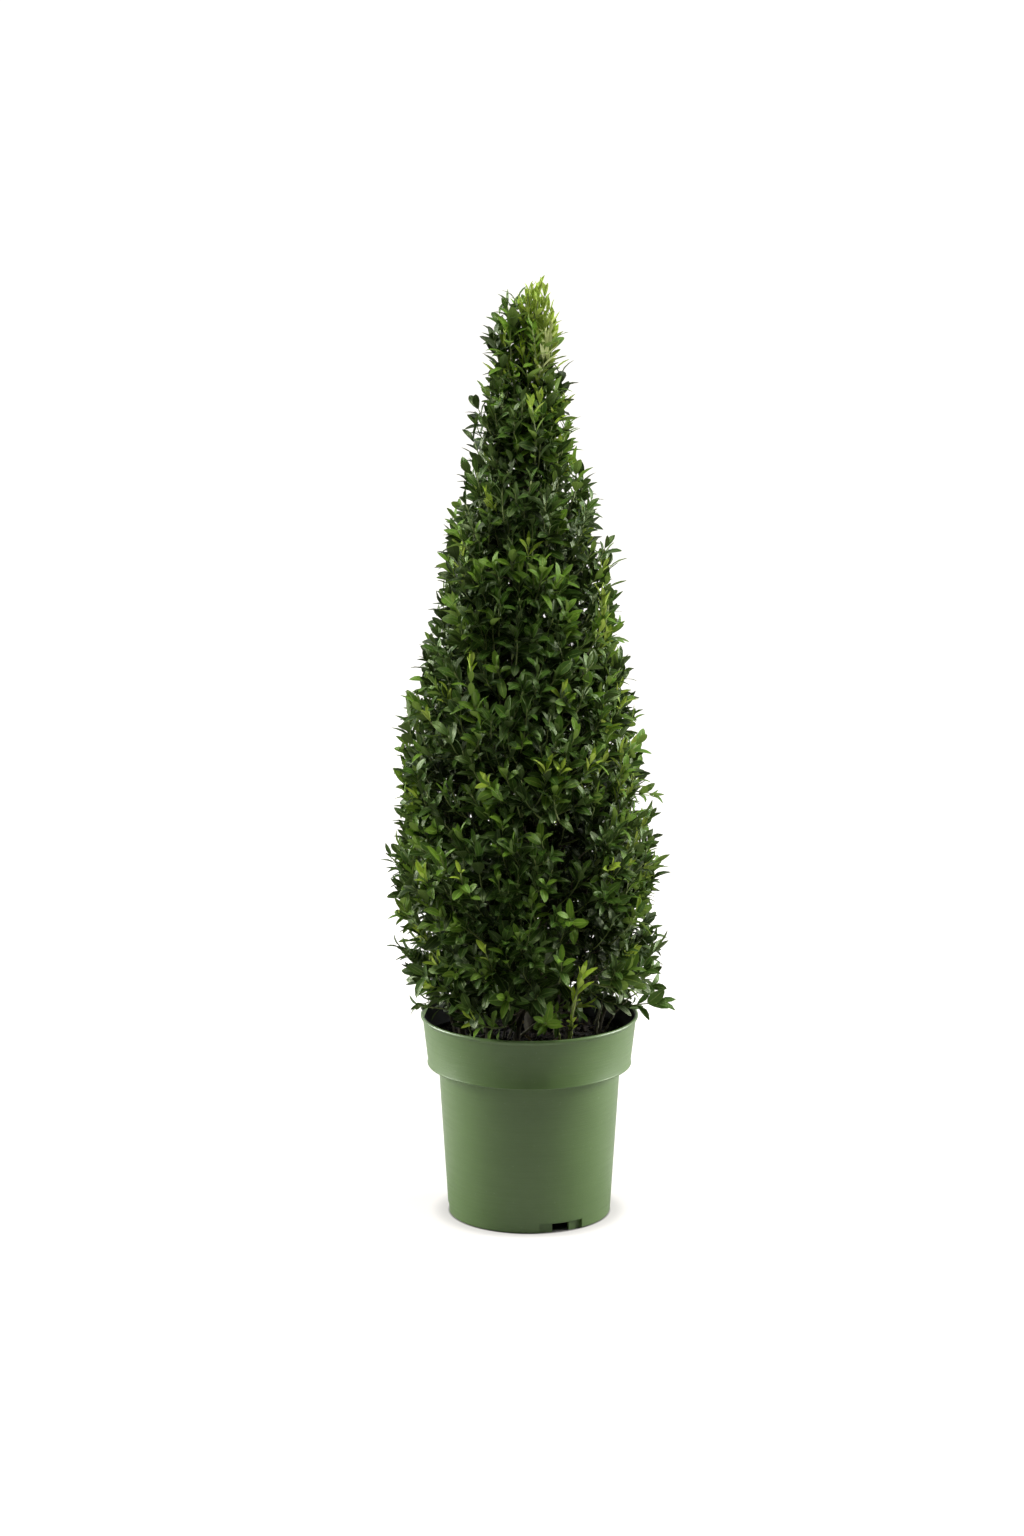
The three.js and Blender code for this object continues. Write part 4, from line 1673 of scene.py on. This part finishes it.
@dataclass
class Stems:
    """Main stem and side stems with the relief of their bark.

    Attributes:
        leader: the main stem's line.
        side_lines: lines of the side stems.
        step: distance between rings of the main stem.
        relief: depth of the furrows as a share of the radius.
    """

    leader: StemLine
    side_lines: list[StemLine]
    step: float = 0.003
    relief: float = 0.09

    def sweep(self, points: Array, radii: Array, sides: int, knots: float) -> Sketch:
        """Extrudes a ring along a line and roughens it.

        Args:
            points: middle line.
            radii: radius at each point.
            sides: sides of the ring.
            knots: how much the radius swells in places.

        Returns:
            A closed bmesh.
        """
        sketch = bmesh.new()
        tangents = unit(np.gradient(points, axis=0))
        ring = bmesh.ops.create_circle(sketch, segments=sides, radius=1.0, cap_ends=False)["verts"]
        shape = [vert.co.copy() for vert in ring]
        self._set_ring(ring, shape, points[0], tangents[0], radii[0])
        edges = list({edge for vert in ring for edge in vert.link_edges})
        rings = [ring]
        for point, tangent, radius in zip(points[1:], tangents[1:], radii[1:]):
            grown = bmesh.ops.extrude_edge_only(sketch, edges=edges)["geom"]
            edges = [item for item in grown if isinstance(item, bmesh.types.BMEdge)]
            ring = [
                next(edge.other_vert(below) for edge in below.link_edges if edge.other_vert(below) in grown)
                for below in rings[-1]
            ]
            self._set_ring(ring, shape, point, tangent, radius)
            rings.append(ring)
        for end in (rings[0], rings[-1]):
            bmesh.ops.contextual_create(sketch, geom=end)
        bmesh.ops.recalc_face_normals(sketch, faces=sketch.faces[:])
        self._roughen(rings, points, radii, knots)
        return sketch

    def _set_ring(
        self, ring: list[bmesh.types.BMVert], shape: list[Vector], point: Array, tangent: Array,
        radius: float,
    ) -> None:
        """Lays a ring of vertices square to the line."""
        turn = Vector((0, 0, 1)).rotation_difference(Vector(tangent)).to_matrix()
        for vert, corner in zip(ring, shape):
            vert.co = Vector(point) + turn @ (corner * float(radius))

    def _roughen(
        self, rings: list[list[bmesh.types.BMVert]], points: Array, radii: Array, knots: float
    ) -> None:
        """Cuts furrows that run up the stem, and swells knots."""
        for ring, point, radius in zip(rings, points, radii):
            middle = Vector(point)
            swell = 1.0 + knots * max(noise.noise(Vector((point[0] * 30, 7.7, point[2] * 55))), 0.0)
            for vert in ring:
                away = vert.co - middle
                furrow = noise.noise(Vector((away.x / radius * 2.6, away.y / radius * 2.6, vert.co.z * 70)))
                fine = noise.noise(Vector((away.x / radius * 7, away.y / radius * 7, vert.co.z * 260)))
                vert.co = middle + away * (swell + self.relief * (furrow * 1.3 + fine * 0.6))

    def build(self) -> None:
        """Makes the main stem and the side stems."""
        bark = STEM_BARK.build()
        heights = np.arange(self.leader.foot, self.leader.top, self.step)
        radii = np.array([self.leader.radius(height) for height in heights])
        sketch = self.sweep(self.leader.at(heights), radii, 20, 0.12)
        finish_piece(bmesh_object("main_stem_bark", sketch, [bark], 80), Slot.BARK, ["main_stem"])
        for line in self.side_lines:
            heights = np.linspace(line.foot, line.top, 22)
            radii = np.array([line.radius(height) for height in heights])
            sketch = self.sweep(line.at(heights), radii, 12, 0.2)
            finish_piece(bmesh_object(f"{line.node}_bark", sketch, [bark], 80), Slot.BARK, [line.node])


@dataclass(frozen=True)
class Sucker:
    """A thin shoot that rises from the soil.

    Attributes:
        foot: X and Y of its foot in metres.
        top: X, Y and Z of its tip.
        bow: how far its middle swings out, X and Y.
        radius: radius at the foot.
        green: whether it is a fresh green shoot rather than a pale old one.
        pairs: leaf pairs near its tip.
        age: age of those leaves.
        leaf: length of those leaves.
    """

    foot: tuple[float, float]
    top: tuple[float, float, float]
    bow: tuple[float, float]
    radius: float
    green: bool = False
    pairs: int = 0
    age: LeafAge = LeafAge.FRESH
    leaf: float = 0.0165


# The green suckers' leaves are young and light, partly painted light where the crown shades them.
SUCKERS = (
    Sucker((-0.066, -0.010), (-0.074, -0.030, 0.208), (-0.004, 0.0), 0.0011),
    Sucker((-0.020, -0.016), (0.010, -0.052, 0.214), (-0.010, 0.004), 0.0015),
    Sucker((-0.024, -0.020), (-0.002, -0.056, 0.212), (-0.012, 0.0), 0.0013),
    Sucker((-0.015, -0.014), (0.022, -0.050, 0.206), (0.004, 0.0), 0.0014),
    Sucker((-0.012, -0.022), (-0.018, -0.070, 0.232), (0.001, -0.004), 0.0014, True),
    Sucker((0.024, -0.020), (0.021, -0.026, 0.184), (0.001, 0.0), 0.0016),
    Sucker((0.036, -0.026), (0.046, -0.095, 0.247), (-0.005, -0.020), 0.0017, True, 5, LeafAge.YOUNG, 0.0190),
    Sucker((0.037, -0.024), (0.038, -0.074, 0.200), (0.001, -0.010), 0.0010, True, 4, LeafAge.YOUNG, 0.0095),
    Sucker((0.028, -0.026), (0.024, -0.070, 0.206), (0.0, -0.006), 0.0011, True, 3, LeafAge.MATURE, 0.0125),
    Sucker((0.062, -0.014), (0.066, -0.046, 0.208), (-0.003, 0.0), 0.0011),
    Sucker((0.066, -0.004), (0.088, -0.040, 0.210), (-0.004, 0.0), 0.0010),
    Sucker((-0.046, 0.020), (-0.060, 0.050, 0.214), (0.0, 0.004), 0.0013),
    Sucker((0.020, 0.052), (0.028, 0.078, 0.216), (0.0, 0.006), 0.0014, True, 4),
    Sucker((-0.022, 0.058), (-0.030, 0.084, 0.212), (0.004, 0.0), 0.0012),
    Sucker((0.058, 0.030), (0.080, 0.046, 0.214), (0.0, 0.006), 0.0012),
)


@dataclass
class Suckers:
    """Thin shoots and old bare stalks between the side stems."""

    soil_height: float

    def build(self, crown: Crown) -> None:
        """Makes the stalks and hands the leafy ends to the crown's foliage."""
        rng = seeded(7)
        bundles = {False: Twigs(7), True: Twigs(7)}
        for sucker in SUCKERS:
            foot = np.array([*sucker.foot, self.soil_height - 0.004])
            top = np.array(sucker.top)
            middle = (foot + top) / 2 + np.array([*sucker.bow, 0.004])
            share = np.linspace(0, 1, 14)[:, None]
            line = foot * (1 - share) ** 2 + middle * 2 * share * (1 - share) + top * share**2
            line = line + rng.normal(0, 0.00025, line.shape)
            radii = sucker.radius * np.linspace(1.0, 0.62, 14)
            bundles[sucker.green].add(line, radii, float(rng.random()))
            if sucker.pairs:
                way = unit(top - middle)
                light = unit(np.array([0.1, -0.6, 0.8]))
                # Their leaves get the lightest tone: painted light where the crown shades them.
                crown.shoots.append(
                    Shoot(
                        top + way * 0.002, way, way, sucker.leaf * 2.0, sucker.pairs, sucker.age, sucker.leaf,
                        Zone.LOWER, light, True, 1.0,
                    )
                )
        nodes = side_stem_nodes()
        finish_piece(bundles[False].build("old_stalks", OLD_STALK.build()), Slot.BARK, nodes)
        finish_piece(bundles[True].build("green_suckers", SUCKER_SKIN_PAINTED_LIGHT.build()), Slot.YOUNG, nodes)


# ---- Pot and soil ----


@dataclass
class NurseryPot:
    """Blow-moulded pot with a wide collar, a rolled lip and drain cut-outs in its foot.

    Lengths are in metres, and each profile point is a radius and a height.
    """

    steps: int = 144
    wall: float = 1.6 * MM
    rim_height: float = field(default_factory=lambda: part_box("nursery_pot")[1].z)
    lip_radius: float = field(default_factory=lambda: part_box("nursery_pot")[1].x)
    lip_round: float = 1.7 * MM
    collar_top_radius: float = 98.0 * MM
    collar_foot_radius: float = 93.4 * MM
    collar_foot_height: float = 141.5 * MM
    shoulder_drop: float = 2.5 * MM
    body_top_radius: float = 83.4 * MM
    body_foot_radius: float = 74.8 * MM
    foot_round: float = 2.4 * MM
    foot_ring_radius: float = 68.6 * MM
    floor_height: float = 9.2 * MM
    recess_bearings: tuple[float, ...] = (23.4, 143.4, 263.4)
    recess_width: float = 33.0
    recess_depth: float = 3.2 * MM
    recess_height: float = 9.4 * MM
    notch_width: float = 13.4
    notch_height: float = 7.6 * MM
    drain_holes: int = 8
    drain_radius: float = 5.0 * MM
    drain_ring: float = 48.0 * MM
    overcut: float = 4.0 * MM

    def arc(
        self, middle: tuple[float, float], radius: float, start: float, end: float, steps: int
    ) -> list[tuple[float, float]]:
        """Points of an arc in the profile."""
        angles = [math.radians(start + (end - start) * index / steps) for index in range(steps + 1)]
        return [(middle[0] + radius * math.cos(turn), middle[1] + radius * math.sin(turn)) for turn in angles]

    def profile(self) -> list[tuple[float, float]]:
        """The wall's outline, from the middle of the underside round to the middle of the floor."""
        under = self.floor_height - self.wall
        lip = (self.lip_radius - self.lip_round, self.rim_height - self.lip_round)
        foot = (self.body_foot_radius - self.foot_round, self.foot_round)
        edge = 1.0 * MM
        collar_edge = (self.collar_foot_radius + 0.5 * MM - edge, self.collar_foot_height + edge)
        outside = [(0.0, under), (self.foot_ring_radius, under), (self.foot_ring_radius, 0.0)]
        outside += self.arc(foot, self.foot_round, -90, 0, 5)
        outside += [(self.body_top_radius, self.collar_foot_height - self.shoulder_drop)]
        outside += self.arc(collar_edge, edge, -80, 20, 5)
        outside += [(self.collar_foot_radius - 0.15 * MM, self.collar_foot_height + 2.6 * edge)]
        outside += [(self.collar_top_radius, self.rim_height - 2.6 * self.lip_round)]
        outside += self.arc(lip, self.lip_round, -30, 180, 10)
        return outside + self.bore()[::-1] + [(0.0, self.floor_height)]

    def bore(self) -> list[tuple[float, float]]:
        """The inner wall, from the floor up to the lip."""
        return [
            (self.body_foot_radius - self.wall, self.floor_height),
            (self.body_top_radius - self.wall, self.collar_foot_height - self.shoulder_drop + self.wall),
            (self.collar_foot_radius - self.wall, self.collar_foot_height + self.wall),
            (self.collar_top_radius - self.wall, self.rim_height - 3.4 * self.lip_round),
        ]

    def wedge(self, sketch: Sketch, bearing: float, width: float, inner: float, top: float) -> None:
        """Adds a cutter: a block bent round the pot's axis.

        Args:
            sketch: bmesh that it is added to.
            bearing: its middle in degrees.
            width: its width in degrees.
            inner: its inner radius.
            top: its upper height.
        """
        outer = self.body_foot_radius * 1.15
        start = heading(math.radians(bearing - width / 2))
        corners = [(inner, -self.overcut), (outer, -self.overcut), (outer, top), (inner, top)]
        verts = [sketch.verts.new((start[0] * r, start[1] * r, z)) for r, z in corners]
        face = sketch.faces.new(verts)
        bmesh.ops.spin(
            sketch, geom=[face, *face.edges, *face.verts], axis=(0, 0, 1), cent=(0, 0, 0),
            angle=math.radians(width), steps=10, use_merge=False, use_duplicate=False,
        )

    def cutters(self) -> dict[str, Sketch]:
        """What is cut from the foot: recesses and drain holes, and the notches right through its ring."""
        recesses, notches = bmesh.new(), bmesh.new()
        deep, through = self.body_foot_radius - self.recess_depth, self.foot_ring_radius - self.overcut
        for bearing in self.recess_bearings:
            self.wedge(recesses, bearing, self.recess_width, deep, self.recess_height)
            self.wedge(notches, bearing, self.notch_width, through, self.notch_height)
        for index in range(self.drain_holes):
            place = heading(2 * math.pi * index / self.drain_holes) * self.drain_ring
            place[2] = self.floor_height - self.wall / 2
            bmesh.ops.create_cone(
                recesses, cap_ends=True, segments=24, radius1=self.drain_radius, radius2=self.drain_radius,
                depth=2 * self.overcut, matrix=Matrix.Translation(place),
            )
        return {"pot_cutters": recesses, "notch_cutters": notches}

    def build(self) -> None:
        """Spins the wall, cuts the foot and dresses the outside green and the inside black."""
        green, black_inside = POT_GREEN.build(), POT_BLACK_INSIDE.build()
        piece = bmesh_object("pot_wall", lathe(self.profile(), self.steps), [green, black_inside])
        for name, sketch in self.cutters().items():
            bmesh.ops.recalc_face_normals(sketch, faces=sketch.faces[:])
            cutter = bmesh_object(name, sketch, [])
            cut = piece.modifiers.new("cut", "BOOLEAN")
            cut.operation = "DIFFERENCE"
            cut.solver = "EXACT"
            cut.object = cutter
            whole = piece.evaluated_get(bpy.context.evaluated_depsgraph_get())
            carved = bpy.data.meshes.new_from_object(whole)
            piece.modifiers.clear()
            piece.data = carved
            bpy.data.objects.remove(cutter)
        self._paint_inside(piece.data)
        piece.data.shade_smooth()
        piece.data.set_sharp_from_angle(angle=math.radians(32))
        finish_piece(piece, Slot.POT, ["nursery_pot"])

    def _paint_inside(self, mesh: bpy.types.Mesh) -> None:
        """Gives the faces that look at the axis, or up from the floor, the black material."""
        for face in mesh.polygons:
            away = Vector((face.center.x, face.center.y, 0)).normalized()
            inward = face.normal.dot(away) < -0.35 and face.center.z > self.floor_height
            on_floor = face.normal.z > 0.7 and face.center.z < self.rim_height * 0.9
            below_lip = face.center.z < self.rim_height - self.lip_round * 0.9
            face.material_index = 1 if (inward and below_lip) or on_floor else 0


@dataclass
class PottingSoil:
    """Damp peat with crumbs, bark chips, fibres and fallen leaves on it.

    Attributes:
        pot: the pot that it fills.
    """

    pot: NurseryPot
    height: float = field(default_factory=lambda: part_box("potting_soil")[1].z)
    foot: float = field(default_factory=lambda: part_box("potting_soil")[0].z)
    radius: float = field(default_factory=lambda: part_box("potting_soil")[1].x)
    clearance: float = 0.4 * MM
    steps: int = 120
    rings: int = 42
    crumbs: int = 2600
    chips: int = 190
    fibres: int = 150
    fallen: int = 46

    def surface(self, x: float, y: float) -> float:
        """Height of the soil at a place: heaped round the stem, low along the wall."""
        distance = math.hypot(x, y) / self.radius
        heap = 0.0030 * (1 - smoothstep(0.0, 0.6, distance)) - 0.0022 * smoothstep(0.75, 1.0, distance)
        lumps = 0.0024 * noise.noise(Vector((x * 45, y * 45, 3.1)))
        lumps += 0.0010 * noise.noise(Vector((x * 160, y * 160, 9)))
        return self.height - 0.001 + heap + lumps

    def body(self) -> Sketch:
        """Spins the soil's body and raises its lumps."""
        bore = [(radius - self.clearance, height) for radius, height in self.pot.bore()]
        radii, heights = zip(*bore)
        foot_radius = float(np.interp(self.foot, heights, radii))
        outline = [(0.0, self.foot), (foot_radius, self.foot)]
        outline += [spot for spot in bore if self.foot < spot[1] < self.height - 0.01]
        outline += [(self.radius * index / self.rings, self.height) for index in range(self.rings, -1, -1)]
        sketch = lathe(outline, self.steps)
        for vert in sketch.verts:
            if vert.co.z > self.height - 0.001:
                vert.co.z = self.surface(vert.co.x, vert.co.y)
        return sketch

    def spots(self, count: int, rng: Rng) -> Array:
        """Places spread evenly over the soil."""
        distance = self.radius * 0.965 * np.sqrt(rng.random(count))
        bearing = rng.uniform(0, 2 * math.pi, count)
        flat = heading(bearing) * distance[:, None]
        flat[:, 2] = [self.surface(x, y) for x, y, _ in flat]
        return flat

    def turned(self, count: int, sizes: Array, flat: float, rng: Rng) -> Array:
        """Frames turned at random.

        Args:
            count: number of frames.
            sizes: sizes along X, Y and Z of each.
            flat: 1 keeps Z upright, 0 turns freely.
            rng: random numbers.

        Returns:
            Frames as rows with their sizes in them.
        """
        up = unit(rng.normal(0, 1, (count, 3)) * (1 - flat) + np.array([0.0, 0.0, 1.0]) * flat)
        side = unit(np.cross(up, rng.normal(0, 1, (count, 3))))
        return np.stack([side, np.cross(up, side), up], axis=1) * sizes[:, :, None]

    def lump_shapes(self) -> list[Shape]:
        """Four uneven crumbs of twenty faces."""
        shapes = []
        for index in range(4):
            rng = seeded(8, index)
            sketch = bmesh.new()
            bmesh.ops.create_icosphere(sketch, subdivisions=1, radius=1.0)
            for vert in sketch.verts:
                vert.co *= float(rng.uniform(0.7, 1.25))
            shapes.append(Shape.read(sketch))
        return shapes

    def chip_shapes(self) -> list[Shape]:
        """Three splintered bark chips with broken ends."""
        shapes = []
        for index in range(3):
            rng = seeded(9, index)
            sketch = bmesh.new()
            bmesh.ops.create_cube(sketch, size=2.0)
            bmesh.ops.subdivide_edges(sketch, edges=[edge for edge in sketch.edges if abs(
                edge.verts[0].co.x - edge.verts[1].co.x) > 1], cuts=2)
            for vert in sketch.verts:
                vert.co += Vector(rng.uniform(-0.28, 0.28, 3))
            shapes.append(Shape.read(sketch))
        return shapes

    def build(self) -> None:
        """Makes the soil and what lies on it."""
        peat, wood, straw = PEAT.build(), BARK_CHIP.build(), ROOT_FIBRE.build()
        nodes = ["potting_soil"]
        finish_piece(bmesh_object("soil_body", self.body(), [peat], 60), Slot.SOIL, nodes)
        rng = seeded(10)
        crumbs = Scatter(self.lump_shapes())
        size = rng.gamma(3.0, 0.00042, self.crumbs)[:, None] + 0.0004
        frames = self.turned(self.crumbs, size * rng.uniform(0.6, 1.2, (self.crumbs, 3)), 0.0, rng)
        spots = self.spots(self.crumbs, rng)
        crumbs.add(spots, frames, rng.integers(0, 4, self.crumbs), rng.random(self.crumbs))
        finish_piece(crumbs.build("soil_crumbs", peat), Slot.SOIL, nodes)
        chips = Scatter(self.chip_shapes())
        length = rng.uniform(0.0022, 0.0060, self.chips)
        sizes = np.stack([length, length * rng.uniform(0.3, 0.6, self.chips), length * 0.2], axis=1)
        chips.add(
            self.spots(self.chips, rng), self.turned(self.chips, sizes, 0.72, rng),
            rng.integers(0, 3, self.chips), rng.random(self.chips),
        )
        finish_piece(chips.build("bark_chips", wood), Slot.SOIL, nodes)
        fibres = Twigs(4)
        for spot in self.spots(self.fibres, rng):
            way = heading(rng.uniform(0, 2 * math.pi))
            bend = heading(rng.uniform(0, 2 * math.pi)) * 0.003
            share = np.linspace(-1, 1, 6)[:, None]
            line = spot + way * share * rng.uniform(0.003, 0.009) + bend * share**2
            line[:, 2] += 0.0008 + rng.uniform(0, 0.0012, 6)
            reach = np.linalg.norm(line[:, :2], axis=1)
            if reach.max() < self.radius * 0.97:
                fibres.add(line, np.full(6, 0.00022), float(rng.random()))
        finish_piece(fibres.build("root_fibres", straw), Slot.SOIL, nodes)
        self._drop_leaves(rng)

    def _drop_leaves(self, rng: Rng) -> None:
        """Lays fallen leaves on the soil."""
        dry = LEAF_FINISHES[LeafAge.DRY].build()
        scatter = Scatter([form.build() for form in BROAD_FORMS])
        sizes = np.repeat(rng.uniform(0.010, 0.015, self.fallen)[:, None], 3, axis=1)
        spots = self.spots(self.fallen, rng) * np.array([0.9, 0.9, 1.0])
        spots[:, 2] += 0.0018
        frames = self.turned(self.fallen, sizes, 0.7, rng)
        scatter.add(spots, frames, rng.integers(0, 4, self.fallen), rng.random(self.fallen))
        finish_piece(scatter.build("fallen_leaves", dry), Slot.FOLIAGE, ["potting_soil"])


# ---- Studio ----


@dataclass(frozen=True)
class Softbox:
    """A square area light that faces the plant.

    Attributes:
        name: name of the light.
        place: where it hangs.
        size: length of its sides.
        power: watts.
    """

    name: str
    place: tuple[float, float, float]
    size: float
    power: float

    def hang(self, target: Vector) -> None:
        """Adds the light, turned to the target."""
        light = bpy.data.lights.new(self.name, "AREA")
        light.shape = "SQUARE"
        light.size = self.size
        light.energy = self.power
        lamp = place_in_scene(self.name, light)
        lamp.location = self.place
        lamp.rotation_euler = (target - Vector(self.place)).to_track_quat("-Z", "Y").to_euler()
        lamp.visible_camera = False


@dataclass
class Studio:
    """Pale floor, soft lights and the camera.

    Attributes:
        camera_place: where the camera stands.
        camera_pitch: degrees that it looks down.
        focal_length: in millimetres, over a sensor of 36 mm.
        floor_radius: radius of the floor.
        pot_foot: radius of the pot where it stands.
        ambient: strength of the backdrop's light from the front.
        backdrop: strength of its light from the back.
        painted_shade_radius: how far out the floor's glow is held a little low, a painted soft shade round
            the pot that fades out by twice this.
        painted_contact_shadow: glow that the floor gains right past the pot's foot; the dark ring before it
            is a painted shadow where the pot stands.
        painted_shadow_fringe: glow that it gains over the next part, a painted soft shadow round the foot.
        clear: glow that it gains further out, where the lamps light it less.
        softboxes: the lamps.
    """

    camera_place: tuple[float, float, float] = (-0.016, -3.79, 1.2168)
    camera_pitch: float = 11.9
    focal_length: float = 100.0
    floor_radius: float = 60.0
    pot_foot: float = 74.0 * MM
    ambient: float = 0.011
    backdrop: float = 0.74
    painted_shade_radius: float = 0.45
    painted_contact_shadow: float = 0.54
    painted_shadow_fringe: float = 0.28
    clear: float = 0.25
    softboxes: tuple[Softbox, ...] = (
        Softbox("left_softbox", (-1.8, 0.45, 0.9), 1.1, 65.0),
        Softbox("right_softbox", (1.8, 0.40, 0.9), 1.1, 69.0),
        Softbox("top_softbox", (0.1, -0.55, 2.4), 0.8, 42.0),
        Softbox("front_softbox", (-0.9, -3.0, 2.2), 0.6, 3.3),
    )

    def build_floor(self) -> None:
        """Lays a white floor that glows for the camera, with a painted shadow of the pot in its glow round
        the foot.
        """
        sketch = bmesh.new()
        bmesh.ops.create_circle(sketch, cap_ends=True, segments=64, radius=self.floor_radius)
        material, sheet, shader, output = new_material("studio_floor")
        shader.inputs["Base Color"].default_value = (0.36, 0.355, 0.345, 1)
        shader.inputs["Roughness"].default_value = 0.9
        shader.inputs["Specular IOR Level"].default_value = 0.1
        length = sheet.add("VectorMath", operation="LENGTH")
        sheet.feed(length.inputs[0], sheet.object_coordinates())
        away, foot, shade = length.outputs["Value"], self.pot_foot, self.painted_shade_radius
        # Painted shadow of the pot: the glow is dark right at its foot, rises softly just past it and stays a
        # little low round the pot before it rises further out.
        painted_contact_shadow = sheet.span(away, foot * 0.99, foot * 1.03, 0.0, self.painted_contact_shadow)
        painted_shadow_fringe = sheet.span(away, foot * 1.03, foot * 1.28, 0.0, self.painted_shadow_fringe)
        near = sheet.math("ADD", painted_contact_shadow, painted_shadow_fringe)
        far = sheet.span(away, shade * 0.6, shade * 2, 0.0, self.clear)
        painted_shadow_glow = sheet.add("Emission")
        # A warm glow, so that the painted shadow reads warm grey.
        painted_shadow_glow.inputs["Color"].default_value = (1.0, 0.975, 0.945, 1)
        sheet.feed(painted_shadow_glow.inputs["Strength"], sheet.math("ADD", near, far))
        dim = sheet.add("BsdfDiffuse")
        dim.inputs["Color"].default_value = (0.22, 0.215, 0.205, 1)
        both = sheet.add("AddShader")
        sheet.feed(both.inputs[0], dim.outputs[0])
        sheet.feed(both.inputs[1], painted_shadow_glow.outputs[0])
        seen = sheet.add("MixShader")
        sheet.feed(seen.inputs[0], sheet.add("LightPath").outputs["Is Camera Ray"])
        sheet.feed(seen.inputs[1], shader.outputs[0])
        sheet.feed(seen.inputs[2], both.outputs[0])
        sheet.feed(output.inputs["Surface"], seen.outputs[0])
        bmesh_object("studio_floor", sketch, [material])

    def build_sky(self) -> None:
        """Sets a white backdrop with weaker light of its own."""
        world = bpy.data.worlds.new("studio_sky")
        world.use_nodes = True
        sheet = NodeSheet(world.node_tree)
        glow = sheet.add("Background")
        glow.inputs["Color"].default_value = (1, 1, 1, 1)
        seen = sheet.add("LightPath").outputs["Is Camera Ray"]
        way = sheet.add("SeparateXYZ")
        sheet.feed(way.inputs[0], sheet.add("TexCoord").outputs["Generated"])
        lit = sheet.span(way.outputs[1], -0.15, 0.75, self.ambient, self.backdrop)
        strength = sheet.math("MAXIMUM", lit, seen)
        sheet.feed(glow.inputs["Strength"], strength)
        sheet.feed(sheet.add("OutputWorld").inputs["Surface"], glow.outputs[0])
        bpy.context.scene.world = world

    def build(self) -> None:
        """Sets up floor, lights and camera."""
        scene = bpy.context.scene
        scene.view_settings.view_transform = "Standard"
        self.build_floor()
        self.build_sky()
        target = (CAD_BOX[0] + CAD_BOX[1]) / 2
        for softbox in self.softboxes:
            softbox.hang(target)
        data = bpy.data.cameras.new("studio_camera")
        data.lens = self.focal_length
        data.sensor_width = 36.0
        camera = place_in_scene("studio_camera", data)
        camera.location = self.camera_place
        camera.rotation_euler = (math.radians(90 - self.camera_pitch), 0, 0)
        scene.camera = camera


def main() -> None:
    """Builds the studio and every sub-assembly in order."""
    logging.basicConfig(level=logging.INFO, format="%(message)s")
    Studio().build()
    leader = StemLine("main_stem", 60)
    side_lines = [StemLine(name, 10) for name in side_stem_nodes()]
    outline = Outline(leader)
    log.info("outline from %.3f to %.3f m", outline.low, outline.high)
    pot = NurseryPot()
    pot.build()
    soil = PottingSoil(pot)
    soil.build()
    Stems(leader, side_lines).build()
    crown = Crown(leader, side_lines, outline)
    Suckers(soil.height).build(crown)
    crown.build()


if __name__ == "__main__":
    main()
